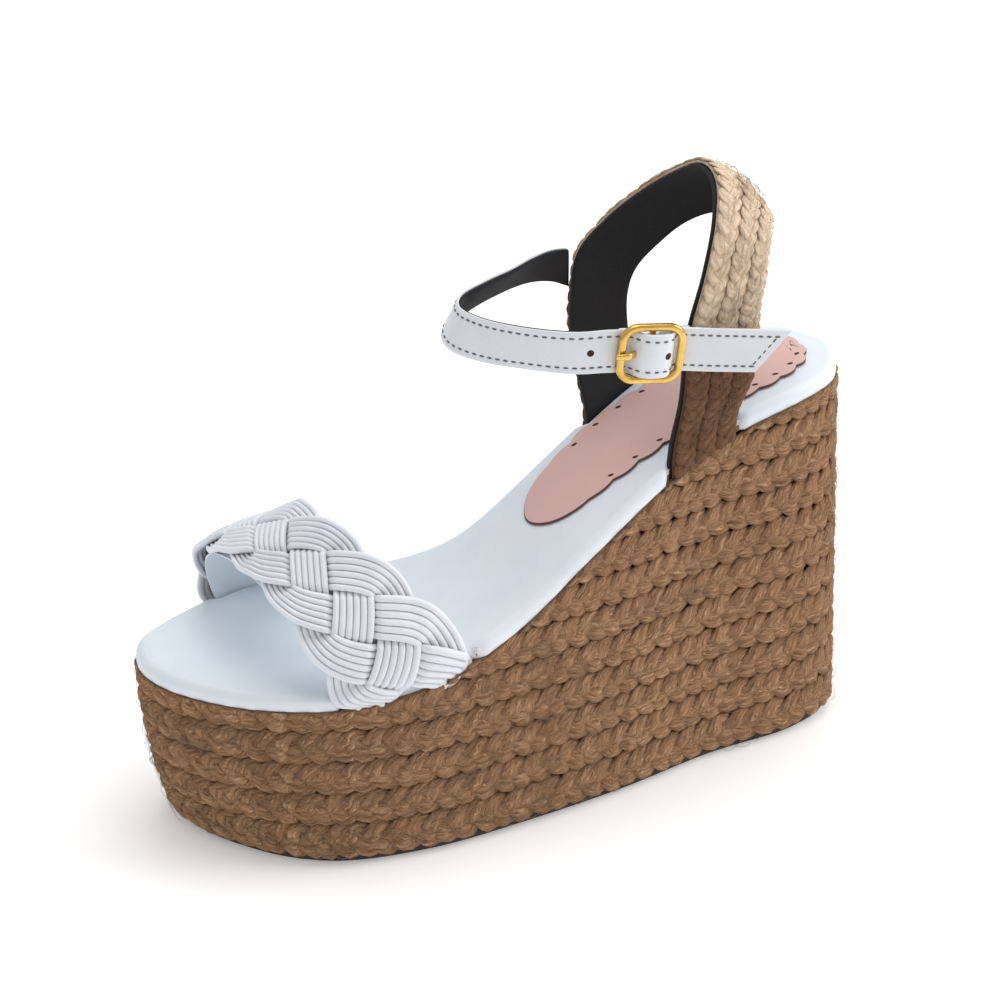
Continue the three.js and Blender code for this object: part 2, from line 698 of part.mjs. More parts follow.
function eyeDisc(radius, width) {
  const shape = new THREE.Shape().absarc(0, -BAR_DROP, radius, 0, 2 * Math.PI);
  return asSolid(acrossBar(shape, width));
}

// A strip of even thickness along a line in the plane across the bar.
function strip(points, thickness, width) {
  const line = new THREE.SplineCurve(points.map(([x, y]) => new THREE.Vector2(x, y)));
  const steps = 10;
  const sides = [[], []];
  for (let i = 0; i <= steps; i += 1) {
    const point = line.getPoint(i / steps);
    const tangent = line.getTangent(i / steps);
    const away = new THREE.Vector2(-tangent.y, tangent.x).multiplyScalar(thickness / 2);
    sides[0].push(point.clone().add(away));
    sides[1].unshift(point.clone().sub(away));
  }
  return asSolid(acrossBar(new THREE.Shape([...sides[0], ...sides[1]]), width));
}

const HOLE_FROM_BAR = -5.4;
const PRONG_REST = BUCKLE_DEPTH / 2 + GAP + PRONG_THICKNESS / 2;
const BAR_INNER_EDGE = SIDE_BAR - BUCKLE_WIRE / 2;
const PRONG_LINE = [
  [-1.2, -BAR_DROP + 0.4], [-3.4, -0.4], [HOLE_FROM_BAR, 0.4],
  [-BAR_INNER_EDGE + 0.9, PRONG_REST - 0.2], [-SIDE_BAR, PRONG_REST + 0.2],
  [-SIDE_BAR - 2, PRONG_REST],
];

function prongSolid(grow) {
  const width = PRONG_WIDTH + 2 * grow;
  const arm = strip(PRONG_LINE, PRONG_THICKNESS + 2 * grow, width);
  return eyeDisc(EYE_RADIUS + grow, width).add(arm);
}

function bucklePin() {
  const bore = eyeDisc(BAR_RADIUS + EYE_CLEARANCE, 2 * BUCKLE_HEIGHT);
  return asGeometry(prongSolid(0).subtract(bore));
}

// The chape loops round the bar and runs back to the heel strap's front edge.
function buckleChape() {
  const edge = closure.worldToLocal(HEEL_STRAP.point(3 / HEEL_STRAP.last, 0.5));
  const line = [
    [1, -BAR_DROP - 1.2], [5, (edge.z - BAR_DROP) / 2 - 1], [edge.x - 2 * GAP, edge.z],
  ];
  const band = strip(line, 2 * EYE_WALL, CHAPE_WIDTH).add(eyeDisc(EYE_RADIUS, CHAPE_WIDTH));
  const bore = eyeDisc(BAR_RADIUS + EYE_CLEARANCE, 2 * BUCKLE_HEIGHT);
  const slot = eyeDisc(EYE_RADIUS + 2 * GAP, PRONG_WIDTH + 2 * GAP);
  return asGeometry(band.subtract(bore).subtract(slot));
}

add('buckle_frame', buckleFrame(), GOLD, closure);
add('buckle_prong', bucklePin(), GOLD, closure);
add('buckle_chape', buckleChape(), WHITE_LEATHER, closure);

// ---------------------------------------------------------------- ankle strap

// The strap leans towards this upright line as it goes round the ankle.
const ANKLE_AXIS = new THREE.Vector3(15, -4, 0);

function throughBuckle(along, outward) {
  return { at: closure.localToWorld(new THREE.Vector3(along, 0, outward)), up: BAR_AXIS };
}

function roundAnkle(fromHeel, y, over, leanDegrees) {
  const at = heelPoint(fromHeel, y, over);
  const inward = ANKLE_AXIS.clone().sub(at).setZ(0).normalize();
  const lean = THREE.MathUtils.degToRad(leanDegrees);
  const up = new THREE.Vector3(0, 0, Math.cos(lean)).addScaledVector(inward, Math.sin(lean));
  return { at, up };
}

const FLAT_ON_HEEL_STRAP = (along) => UNDER_BAR + (along - SIDE_BAR) * Math.sin(BUCKLE_YAW);
const TAIL_LENGTH = 42.5; // along the tail's upper edge
const TAIL_SLANT = 9.5; // the lower edge is this much shorter
const DIVE = BAR_INNER_EDGE - 1; // where the strap is down under each side bar

// The strap's middle line and the way up across it, from its tail, through the buckle and
// round the ankle's front to the heel strap on the inner side.
const STRAP_ROUTE = [
  throughBuckle(TAIL_LENGTH, FLAT_ON_HEEL_STRAP(TAIL_LENGTH)),
  throughBuckle(30, FLAT_ON_HEEL_STRAP(30)),
  throughBuckle(20, FLAT_ON_HEEL_STRAP(20)),
  throughBuckle(SIDE_BAR + 1.5, UNDER_BAR - 0.2),
  throughBuckle(DIVE, UNDER_BAR - 0.4),
  throughBuckle(0.62 * DIVE, -0.9),
  throughBuckle(0.38 * DIVE, OVER_BAR - 0.8),
  throughBuckle(0, OVER_BAR),
  throughBuckle(-0.38 * DIVE, OVER_BAR - 0.7),
  throughBuckle(-0.68 * DIVE, -0.9),
  throughBuckle(-DIVE, UNDER_BAR - 0.4),
  throughBuckle(-SIDE_BAR - 1.5, UNDER_BAR - 0.2),
  throughBuckle(-13, UNDER_BAR - 0.2),
  roundAnkle(102, -31, 29.5, -2),
  roundAnkle(114, -23.5, 30, -4),
  roundAnkle(123.5, -11.5, 29.5, 4),
  roundAnkle(127, -1, 29.5, 15),
  roundAnkle(124.5, 6, 30.5, 26),
  roundAnkle(116, 10, 32.5, 34),
  roundAnkle(105, 14, 33.8, 37),
  roundAnkle(94, 19, 33.8, 35),
  roundAnkle(85, 23, 32, 24),
  roundAnkle(78.9, 25.2, 29.5, 10),
];
const TAIL_SPLIT = 12;
const HALF_WIDTH = STRAP_WIDTH / 2;
const ANKLE_STRAP = new Ribbon(
  STRAP_ROUTE.map(({ at, up }) => at.clone().addScaledVector(up, HALF_WIDTH)),
  STRAP_ROUTE.map(({ at, up }) => at.clone().addScaledVector(up, -HALF_WIDTH)),
);
const LAST = ANKLE_STRAP.last;

// The route runs from the outer side to the inner, so the ribbon's normal points in.
const LEATHER_OUTSIDE = -TAIL_THICKNESS / 2;
const LEATHER_INSIDE = LEATHER_OUTSIDE + STRAP_LEATHER;
const LINING_FACE = TAIL_THICKNESS / 2;

// A round hole through the strap, at a place along the buckle's own axis.
function strapHole(along) {
  const drill = new THREE.CylinderGeometry(HOLE_RADIUS, HOLE_RADIUS, 20 * TAIL_THICKNESS, 10);
  drill.rotateX(Math.PI / 2).translate(along, 0, 0);
  return asSolid(drill.applyMatrix4(closure.matrixWorld));
}

// One layer of the strap from just ahead of the buckle to the heel strap's inner side.
function strapLayer(outside, inside) {
  const layerSolid = ANKLE_STRAP.solid(STRAP_STEPS, TAIL_SPLIT / LAST, 1, outside, inside);
  return asGeometry(asSolid(layerSolid).subtract(strapHole(HOLE_FROM_BAR - HOLE_PITCH)));
}

// What the slanted cut takes off the tail's end.
function tailOffcut() {
  const reach = STRAP_WIDTH;
  const lean = TAIL_SLANT / STRAP_WIDTH;
  const offcut = new THREE.Shape([
    new THREE.Vector2(TAIL_LENGTH - TAIL_SLANT / 2 - reach * lean, -reach),
    new THREE.Vector2(2 * TAIL_LENGTH, -reach),
    new THREE.Vector2(2 * TAIL_LENGTH, reach),
    new THREE.Vector2(TAIL_LENGTH - TAIL_SLANT / 2 + reach * lean, reach),
  ]);
  const options = { depth: 4 * STRAP_WIDTH, bevelEnabled: false };
  const block = new THREE.ExtrudeGeometry(offcut, options).translate(0, 0, -2 * STRAP_WIDTH);
  return asSolid(block.applyMatrix4(closure.matrixWorld));
}

// The tail is threaded through the buckle, so the prong passes through it.
function ankleStrapTail() {
  const end = TAIL_SPLIT / LAST - GAP / ANKLE_STRAP.upper.getLength();
  const band = ANKLE_STRAP.solid(TAIL_STEPS, 0, end, LEATHER_OUTSIDE, LINING_FACE);
  const prongRoom = asGeometry(prongSolid(GAP)).applyMatrix4(closure.matrixWorld);
  const freeHole = strapHole(HOLE_FROM_BAR + HOLE_PITCH);
  return asGeometry(
    asSolid(band).subtract(asSolid(prongRoom)).subtract(freeHole).subtract(tailOffcut()),
  );
}

add('ankle_strap', strapLayer(LEATHER_OUTSIDE, LEATHER_INSIDE), WHITE_LEATHER);
add('ankle_strap_lining', strapLayer(LEATHER_INSIDE + GAP, LINING_FACE), BLACK_LINING);
add('ankle_strap_tail', ankleStrapTail(), WHITE_LEATHER);

export default sandal;
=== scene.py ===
# %% [markdown]
# # A plaited wedge sandal, dressed for a studio render
# The shoe already exists as a plain engineering model, and this lesson gives it the surface of the
# real thing: plaited jute, round cords, sewn leather and a gilt buckle. Every new piece takes the
# place of a plain node and rides on the same moving body.

import math

import bmesh
import bpy
import numpy as np
from mathutils import Matrix, Vector


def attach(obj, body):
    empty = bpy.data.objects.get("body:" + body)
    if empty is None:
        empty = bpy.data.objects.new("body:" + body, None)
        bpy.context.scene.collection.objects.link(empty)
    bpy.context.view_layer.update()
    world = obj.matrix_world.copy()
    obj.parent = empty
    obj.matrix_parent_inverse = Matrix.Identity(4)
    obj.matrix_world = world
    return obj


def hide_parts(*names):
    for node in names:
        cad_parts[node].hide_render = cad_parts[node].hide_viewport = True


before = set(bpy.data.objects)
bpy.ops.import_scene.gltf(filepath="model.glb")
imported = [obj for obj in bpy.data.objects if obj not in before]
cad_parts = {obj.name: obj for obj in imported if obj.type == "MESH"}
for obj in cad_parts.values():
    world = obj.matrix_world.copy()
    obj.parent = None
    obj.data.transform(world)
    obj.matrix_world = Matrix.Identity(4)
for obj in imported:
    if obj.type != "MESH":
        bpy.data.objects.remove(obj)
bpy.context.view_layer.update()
MM = 0.001
FULL_TURN = 2 * math.pi
print("frame loaded:", len(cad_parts), "nodes")

# %% [markdown]
# ## Smooth lines
# A shoe is drawn with a few smooth lines: its sole in plan, its footbed in side view and the edges
# of its straps. Each is a curve through a handful of points. A centripetal Catmull-Rom curve is used
# because it passes through every point and never loops between two that are close together.

# %% A curve through points
def root_gap(a, b):
    return np.maximum(np.linalg.norm(b - a, axis=1), 1e-9)[:, None] ** 0.5


class Line:
    def __init__(self, points, closed=False):
        points = np.array(points, float)
        if closed:
            around = np.concatenate([points[-1:], points, points[:2]])
        else:
            first = 2 * points[0] - points[1]
            last = 2 * points[-1] - points[-2]
            around = np.concatenate([[first], points, [last]])
        p0, p1, p2, p3 = around[:-3], around[1:-2], around[2:-1], around[3:]
        d0, d1, d2 = root_gap(p0, p1), root_gap(p1, p2), root_gap(p2, p3)
        leave = ((p1 - p0) / d0 - (p2 - p0) / (d0 + d1) + (p2 - p1) / d1) * d1
        arrive = ((p2 - p1) / d1 - (p3 - p1) / (d1 + d2) + (p3 - p2) / d2) * d1
        self.terms = np.stack([
            p1, leave, 3 * (p2 - p1) - 2 * leave - arrive, 2 * (p1 - p2) + leave + arrive,
        ])
        self.count = len(p1)
        share = np.linspace(0, 1, 3001)
        steps = np.linalg.norm(np.diff(self.at(share), axis=0), axis=1)
        self.share = share
        self.run = np.concatenate([[0], np.cumsum(steps)])
        self.length = self.run[-1]

    def at(self, share):
        place = np.clip(np.asarray(share, float), 0, 1) * self.count
        piece = np.minimum(place.astype(int), self.count - 1)
        w = (place - piece)[..., None]
        a, b, c, d = (term[piece] for term in self.terms)
        return a + w * (b + w * (c + w * d))

    def along(self, distance):
        return self.at(np.interp(distance, self.run, self.share))


def ease(low, high, value):
    t = np.clip((value - low) / (high - low), 0, 1)
    return t * t * (3 - 2 * t)


def unit(vectors):
    return vectors / np.maximum(np.linalg.norm(vectors, axis=-1, keepdims=True), 1e-12)


print("a straight curve of two points is %.1f mm long" % Line([(0, 0), (10, 0)]).length)

# %% [markdown]
# ## The sole's two lines
# The sole in plan is wide at the ball, narrow at the waist and round at the heel. The footbed in side
# view runs level at the toe and climbs to the heel seat. Everything on the wedge is placed from
# these two lines, so they come first.

# %% Sole in plan and footbed in side view
LENGTH = 225.0
HEEL_X = LENGTH / 2
HEEL_HEIGHT = 122.0
PLATFORM = 58.0
RIM_HEIGHT = 5.0
STATIONS = [
    (0.012, 2.5, 18.5), (0.036, 2.8, 34.5), (0.1, 1.8, 46.5), (0.222, 0, 50), (0.378, -8.8, 48.96),
    (0.533, -12.6, 52.02), (0.667, -6, 70.2), (0.791, 1.5, 78), (0.889, 2.9, 60.84),
    (0.951, 5.5, 41.34), (0.987, 8, 22.62),
]
inner_side = [(HEEL_X - share * LENGTH, centre + width / 2) for share, centre, width in STATIONS]
outer_side = [(HEEL_X - share * LENGTH, centre - width / 2) for share, centre, width in STATIONS]
rim_line = Line([(HEEL_X, 2)] + inner_side + [(-HEEL_X, 8.5)] + outer_side[::-1], closed=True)

RISE = [
    (-0.03, 1), (0.107, 0.977), (0.222, 0.883), (0.333, 0.734), (0.444, 0.5),
    (0.556, 0.234), (0.667, 0.07), (0.778, 0.008), (0.889, 0), (1.03, 0),
]
climb = HEEL_HEIGHT - PLATFORM
profile = Line([(HEEL_X - share * LENGTH, PLATFORM + rise * climb) for share, rise in RISE])
profile_points = profile.at(np.linspace(1, 0, 1201))


def top_z(x):
    return np.interp(x, profile_points[:, 0], profile_points[:, 1])


def under(x, depth):
    slope = (top_z(x + 0.5) - top_z(x - 0.5)) / 1.0
    return top_z(x) - depth * np.sqrt(1 + slope ** 2)


def outline(distance, outset=0.0):
    distance = np.mod(distance, rim_line.length)
    here = rim_line.along(distance)
    ahead = rim_line.along(np.mod(distance + 0.4, rim_line.length))
    behind = rim_line.along(np.mod(distance - 0.4, rim_line.length))
    tangent = unit(ahead - behind)
    outward = np.stack([tangent[..., 1], -tangent[..., 0]], axis=-1)
    return here + outward * np.asarray(outset)[..., None]


rim_samples = rim_line.along(np.linspace(0, rim_line.length, 2001))
toe_at = int(np.argmin(rim_samples[:, 0]))


def rim_y(x, side):
    half = rim_samples[:toe_at + 1] if side > 0 else rim_samples[toe_at:]
    order = np.argsort(half[:, 0])
    return np.interp(x, half[order, 0], half[order, 1])


print("sole outline: %.0f mm round" % rim_line.length)

# %% [markdown]
# ## Bent grids
# A strap, a cord and a plaited strand are all a flat grid that has been bent: long one way, and
# wrapped round a section the other way. One helper makes the grid with the create-grid operator,
# moves its corners, welds its seam, closes its ends and turns its faces outwards. Its UV map keeps
# the distance along and round the piece, so that a pattern can follow it.

# %% Grid, weld and finish helpers
def grid_mesh(name, rows, columns, place, uv_size=(1.0, 1.0), lay=None):
    shaped = bmesh.new()
    shaped.loops.layers.uv.new("UVMap")
    bmesh.ops.create_grid(shaped, x_segments=rows, y_segments=columns, size=0.5, calc_uvs=True)
    mesh = bpy.data.meshes.new(name)
    shaped.to_mesh(mesh)
    shaped.free()
    flat = np.empty(len(mesh.vertices) * 3)
    mesh.vertices.foreach_get("co", flat)
    share = flat.reshape(-1, 3)[:, :2] + 0.5
    points = place(share[:, 0], share[:, 1])
    mesh.vertices.foreach_set("co", (points * MM).ravel())
    uv = np.empty(len(mesh.loops) * 2)
    layer = mesh.uv_layers[0].data
    layer.foreach_get("uv", uv)
    layer.foreach_set("uv", (uv.reshape(-1, 2) * np.array(uv_size)).ravel())
    depth = np.ones(len(share)) if lay is None else lay(share[:, 0], share[:, 1])
    mesh.attributes.new("lay", "FLOAT", "POINT").data.foreach_set("value", depth)
    return mesh


def weld(meshes, name, close_ends=True):
    joined = bmesh.new()
    for mesh in meshes:
        joined.from_mesh(mesh)
        bpy.data.meshes.remove(mesh)
    bmesh.ops.remove_doubles(joined, verts=joined.verts, dist=1e-6)
    bmesh.ops.dissolve_degenerate(joined, edges=joined.edges, dist=1e-7)
    if close_ends:
        open_edges = [edge for edge in joined.edges if edge.is_boundary]
        if open_edges:
            bmesh.ops.holes_fill(joined, edges=open_edges, sides=0)
    bmesh.ops.recalc_face_normals(joined, faces=joined.faces)
    for face in joined.faces:
        face.smooth = len(face.verts) < 5
    mesh = bpy.data.meshes.new(name)
    joined.to_mesh(mesh)
    joined.free()
    piece = bpy.data.objects.new(name, mesh)
    bpy.context.scene.collection.objects.link(piece)
    return piece


def settle(piece, body, node, slot, *finishes):
    for finish in finishes:
        piece.data.materials.append(finish)
    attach(piece, body)
    if node:
        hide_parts(*([node] if isinstance(node, str) else node))
    return piece


print("helpers ready: a grid is bent, welded and settled on a body")

# %% [markdown]
# ## Materials, built from a few nodes
# Each finish starts from a Principled shader. Its colour is a ramp driven by noise, and its bump is
# fine noise or waves at the true scale of the fibre or grain. The helpers below only save repeating
# the same wiring.

# %% Material helpers
class Finish:
    def __init__(self, name, roughness=0.5, **constants):
        self.material = bpy.data.materials.new(name)
        self.material.use_nodes = True
        self.nodes = self.material.node_tree.nodes
        self.links = self.material.node_tree.links
        self.shader = self.nodes["Principled BSDF"]
        self.shader.inputs["Roughness"].default_value = roughness
        for socket, value in constants.items():
            self.shader.inputs[socket.replace("_", " ")].default_value = value

    def node(self, kind, inputs=None, **settings):
        made = self.nodes.new(kind)
        for key, value in settings.items():
            setattr(made, key, value)
        for key, value in (inputs or {}).items():
            if isinstance(value, bpy.types.NodeSocket):
                self.links.new(value, made.inputs[key])
            else:
                made.inputs[key].default_value = value
        return made

    def place(self, source="Object", scale=(1, 1, 1), turn=(0, 0, 0)):
        where = self.node("ShaderNodeTexCoord").outputs[source]
        return self.node(
            "ShaderNodeMapping", {"Vector": where, "Scale": scale, "Rotation": turn},
        ).outputs["Vector"]

    def noise(self, where, scale, detail=4.0, roughness=0.6):
        made = self.node("ShaderNodeTexNoise", {
            "Vector": where, "Scale": scale, "Detail": detail, "Roughness": roughness,
        })
        return made.outputs["Fac"]

    def ramp(self, value, stops):
        made = self.node("ShaderNodeValToRGB", {"Fac": value})
        bar = made.color_ramp
        while len(bar.elements) < len(stops):
            bar.elements.new(0.5)
        for element, (place, colour) in zip(bar.elements, stops):
            element.position = place
            element.color = (*colour, 1)
        return made.outputs["Color"]

    def mix(self, share, low, high, kind="MIX"):
        made = self.node("ShaderNodeMix", data_type="RGBA", blend_type=kind)
        for index, value in ((0, share), (6, low), (7, high)):
            if isinstance(value, bpy.types.NodeSocket):
                self.links.new(value, made.inputs[index])
            elif index == 0:
                made.inputs[index].default_value = value
            else:
                made.inputs[index].default_value = (*value, 1)
        return made.outputs[2]

    def math(self, kind, a, b=0.5):
        made = self.node("ShaderNodeMath", operation=kind)
        for index, value in enumerate((a, b)):
            if isinstance(value, bpy.types.NodeSocket):
                self.links.new(value, made.inputs[index])
            else:
                made.inputs[index].default_value = value
        return made.outputs["Value"]

    def apart(self, vector, *axes):
        parts = self.node("ShaderNodeSeparateXYZ", {"Vector": vector}).outputs
        return [parts[axis] for axis in axes]

    def spread(self, value, low, high):
        return self.node("ShaderNodeMapRange", {
            "Value": value, "To Min": low, "To Max": high,
        }).outputs["Result"]

    def lay(self):
        return self.node("ShaderNodeAttribute", attribute_name="lay").outputs["Fac"]

    def colour(self, socket):
        self.links.new(socket, self.shader.inputs["Base Color"])

    def rough(self, socket):
        self.links.new(socket, self.shader.inputs["Roughness"])

    def bump(self, height, strength, distance):
        made = self.node("ShaderNodeBump", {
            "Height": height, "Strength": strength, "Distance": distance,
        })
        self.links.new(made.outputs["Normal"], self.shader.inputs["Normal"])


print("material helpers ready")

# %% [markdown]
# ### Jute
# Jute yarn is a loose twist of coarse dull fibres. Along the yarn the fibres show as thin streaks that
# wind slowly round it, so the noise is stretched along the UV map and sheared. Where a strand dives
# under its neighbours, and on its side against the wall, the yarn is darkened: painted shade. Its fuzz
# catches light as a soft sheen. On the heel strap the colour is also darkened by height towards the
# sole: painted shade too.

# %% Jute finish
YARNS = 5.0
YARN_TWIST = 0.75


def jute_finish(name, dark, mid, light, fuzz=0.35, shade=None):
    jute = Finish(name, roughness=0.92)
    jute.shader.inputs["Sheen Weight"].default_value = fuzz
    jute.shader.inputs["Sheen Roughness"].default_value = 0.6
    jute.shader.inputs["Sheen Tint"].default_value = (*light, 1)
    jute.shader.inputs["Specular IOR Level"].default_value = 0.15
    length, girth = jute.apart(jute.place("UV"), "X", "Y")
    loose = jute.noise(jute.place("UV", scale=(0.5, 2.0, 1)), 1.6, 3)
    yarn_count = jute.math("MULTIPLY", girth, YARNS)
    twist = jute.math("MULTIPLY", length, YARN_TWIST)
    wound = jute.math("ADD", yarn_count, twist)
    wound = jute.math("ADD", wound, jute.math("MULTIPLY", loose, 1.6))
    yarns = jute.math("SINE", jute.math("MULTIPLY", wound, math.pi))
    yarns = jute.math("ABSOLUTE", yarns)
    sheared = jute.node("ShaderNodeCombineXYZ", {
        "X": jute.math("MULTIPLY", length, 0.3), "Y": jute.math("MULTIPLY", wound, 2.4),
    }).outputs["Vector"]
    coarse = jute.noise(sheared, 1.6, 5, 0.7)
    fine = jute.noise(sheared, 5.0, 5, 0.7)
    fibres = jute.math("MULTIPLY", jute.math("ADD", coarse, fine), 0.5)
    patches = jute.noise(jute.place("Object", scale=(40, 40, 70)), 1.0, 3)
    strand = jute.ramp(fibres, [(0.41, dark), (0.5, mid), (0.59, light)])
    seams = jute.ramp(yarns, [(0.0, (0.6, 0.54, 0.5)), (0.45, (1, 1, 1))])
    aged = jute.mix(jute.spread(patches, 0.0, 0.5), strand, mid)
    # Painted shade: the yarn is darkened where a strand dives under and on its side against the wall.
    painted_under_shade = jute.ramp(jute.lay(), [
        (0.0, (0.4, 0.33, 0.28)), (0.6, (0.9, 0.88, 0.86)), (1, (1, 1, 1)),
    ])
    tone_and_painted_shade = jute.mix(1.0, jute.mix(0.45, aged, seams, "MULTIPLY"), painted_under_shade, "MULTIPLY")
    # Painted shade: on the heel strap the colour darkens by height towards the sole.
    if shade:
        height, = jute.apart(jute.place("Object"), "Z")
        low = jute.node("ShaderNodeMapRange", {
            "Value": height, "From Min": shade[0], "From Max": shade[1],
        }).outputs["Result"]
        painted_shade_ramp = jute.ramp(low, [(0.0, (0.2, 0.11, 0.062)), (1.0, (1, 1, 1))])
        tone_and_painted_shade = jute.mix(1.0, tone_and_painted_shade, painted_shade_ramp, "MULTIPLY")
    jute.colour(tone_and_painted_shade)
    jute.bump(jute.math("ADD", jute.math("MULTIPLY", yarns, 0.3), fibres), 1.0, 0.0012)
    return jute.material


wrap_jute = jute_finish("jute_wrap", (0.1, 0.04, 0.015), (0.33, 0.175, 0.088), (0.7, 0.45, 0.27))
strap_jute = jute_finish(
    "jute_strap", (0.55, 0.36, 0.22), (1.0, 0.76, 0.54), (1.0, 0.93, 0.76), 0.15, shade=(0.143, 0.153),
)
stray_jute = jute_finish("jute_fibres", (0.5, 0.36, 0.24), (0.68, 0.52, 0.37), (0.8, 0.66, 0.5))
print("jute finishes:", wrap_jute.name, strap_jute.name, stray_jute.name)


# %% [markdown]
# ### Leather and lining
# White leather is nearly smooth: a faint pebble of grain, a slow change of gloss where it has been
# handled, and a cool blue-grey tint that is painted shade. The black lining is matt with a fine tooth.
# The pink sock is a soft kid leather with a flatter finish.

# %% Leather finishes
def leather_finish(name, base, shade, roughness, grain=2600.0, depth=0.00008, sheen=0.0):
    leather = Finish(name, roughness=roughness, Sheen_Weight=sheen)
    where = leather.place("Object")
    pores = leather.node("ShaderNodeTexVoronoi", {"Vector": where, "Scale": grain}).outputs["Distance"]
    creases = leather.noise(where, grain * 0.35, 5)
    cloud = leather.noise(where, 28, 3)
    leather.colour(leather.ramp(cloud, [(0.3, shade), (0.7, base)]))
    leather.rough(leather.spread(cloud, roughness - 0.06, roughness + 0.1))
    leather.bump(leather.math("ADD", pores, creases), 0.35, depth)
    return leather.material


# Painted shade: the blue-grey tint of the white leathers.
white_leather = leather_finish("white_leather", (0.8, 0.85, 0.9), (0.72, 0.785, 0.85), 0.42)
strap_leather = leather_finish("strap_leather", (0.78, 0.8, 0.83), (0.7, 0.72, 0.76), 0.4)
black_lining = leather_finish("black_lining", (0.008, 0.008, 0.01), (0.004, 0.004, 0.006), 0.78, 1800)
pink_leather = leather_finish("pink_sock", (0.7, 0.45, 0.41), (0.64, 0.4, 0.36), 0.6, 3200, 0.00006, 0.2)
# Painted shadow: the dark finish on the sock's cut edge.
painted_edge_shadow = leather_finish("painted_edge_shadow", (0.16, 0.07, 0.055), (0.1, 0.045, 0.04), 0.8)
# Painted shade: the dark colour of the discs that stand for punched holes.
punched = leather_finish("punched_hole", (0.05, 0.025, 0.02), (0.03, 0.015, 0.012), 0.9)
print("leathers:", white_leather.name, strap_leather.name, black_lining.name, pink_leather.name)


# %% [markdown]
# ### Cord, metal, thread and rubber
# The vamp's cords have a satin skin with very fine ribs across them. The buckle is gilt metal
# with tiny polishing marks. The stitches are dull grey thread, and the outsole is dark rubber.

# %% Cord, metal, thread and rubber finishes
def cord_finish():
    cord = Finish("white_cord", roughness=0.38)
    ribs = cord.node("ShaderNodeTexWave", {
        "Vector": cord.place("UV", turn=(0, 0, 0.35)), "Scale": 0.55, "Distortion": 0.6,
    }).outputs["Fac"]
    cloud = cord.noise(cord.place("Object"), 60, 3)
    clean = cord.ramp(cloud, [(0.3, (0.74, 0.77, 0.82)), (0.7, (0.84, 0.86, 0.9))])
    # Painted shade: each cord is darkened on its underside.
    painted_under_shade = cord.ramp(cord.lay(), [(0.0, (0.62, 0.62, 0.64)), (0.6, (1, 1, 1))])
    cord.colour(cord.mix(1.0, clean, painted_under_shade, "MULTIPLY"))
    cord.rough(cord.spread(cloud, 0.3, 0.48))
    cord.bump(ribs, 0.25, 0.0001)
    return cord.material


def metal_finish():
    metal = Finish("gilt_metal", roughness=0.22, Metallic=1.0)
    marks = metal.noise(metal.place("Object", scale=(1, 6, 1)), 900, 5)
    cloud = metal.noise(metal.place("Object"), 120, 3)
    metal.colour(metal.ramp(cloud, [(0.3, (0.62, 0.36, 0.075)), (0.7, (0.83, 0.55, 0.16))]))
    metal.rough(metal.spread(marks, 0.14, 0.34))
    metal.bump(marks, 0.08, 0.00003)
    return metal.material


def plain_finish(name, low, high, roughness, scale, depth):
    plain = Finish(name, roughness=roughness)
    grain = plain.noise(plain.place("Object"), scale, 6)
    plain.colour(plain.ramp(grain, [(0.3, low), (0.7, high)]))
    plain.bump(grain, 0.5, depth)
    return plain.material


white_cord = cord_finish()
gilt = metal_finish()
thread = plain_finish("stitch_thread", (0.09, 0.09, 0.1), (0.17, 0.17, 0.18), 0.8, 4000, 0.0001)
rubber = plain_finish("outsole_rubber", (0.03, 0.022, 0.018), (0.07, 0.05, 0.04), 0.8, 700, 0.0002)
core_foam = plain_finish("core_foam", (0.12, 0.065, 0.035), (0.2, 0.115, 0.065), 0.95, 500, 0.0004)
board = plain_finish("insole_board", (0.2, 0.12, 0.06), (0.3, 0.18, 0.09), 0.9, 600, 0.0002)
pad_foam = plain_finish("footbed_foam", (0.6, 0.56, 0.48), (0.72, 0.68, 0.6), 0.9, 900, 0.0002)
for name, finish in (
    ("wedge_core", core_foam), ("insole_board", board),
    ("footbed_foam", pad_foam), ("buckle_chape", strap_leather),
):
    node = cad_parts[name]
    node.data.materials.clear()
    node.data.materials.append(finish)
print("materials:", len(bpy.data.materials))

# %% [markdown]
# ## Plaits
# In a flat plait each strand swings from edge to edge and changes level as it goes: the swing is a
# wave, and the level is a wave twice as fast, so that every strand dives under the middle once in
# each pass. A strand's section is an oval, wider than it is thick. The same helper lays a plait
# of any number of strands on any surface.

# %% Plaited strands on a surface
UV_UNIT = 4.0
BENT = 0.93


def plait(name, surface, length, strands, pitch, swing, dive, half_wide, half_thick,
          closed=False, sides=10, steps=14, wander=0.5, seed=0.0):
    if closed:
        pitch = length / round(length / pitch)
    rows = int(length / pitch * steps)

    def centre(distance, number):
        uneven = wander * np.sin(FULL_TURN * (2 * distance / length + 0.37 * number) + seed)
        phase = FULL_TURN * (distance / pitch + number / strands) + uneven * 0.5
        breadth = np.arcsin(BENT * np.sin(phase)) / math.asin(BENT)
        return breadth * swing, np.sin(2 * phase) * dive

    meshes = []
    for number in range(strands):
        def place(a, b, number=number):
            distance = a * length
            across, level = centre(distance, number)
            ahead, _ = centre(distance + 0.2, number)
            slope = (ahead - across) / 0.2
            angle = FULL_TURN * b
            swell = 1 + 0.07 * np.sin(distance * 0.9 + 2.1 * number + seed)
            wide = half_wide * np.cos(angle) * swell
            thick = half_thick * np.sin(angle) * swell
            size = np.hypot(1, slope)
            return surface(distance - wide * slope / size, across + wide / size, level + thick)

        def lay(a, b, number=number):
            _, level = centre(a * length, number)
            return np.clip(0.5 + 0.3 * level / dive + 0.35 * np.sin(FULL_TURN * b), 0, 1)

        meshes.append(grid_mesh(name, rows, sides, place, (length / UV_UNIT, 1.0), lay))
    return meshes


print("plait helper ready")

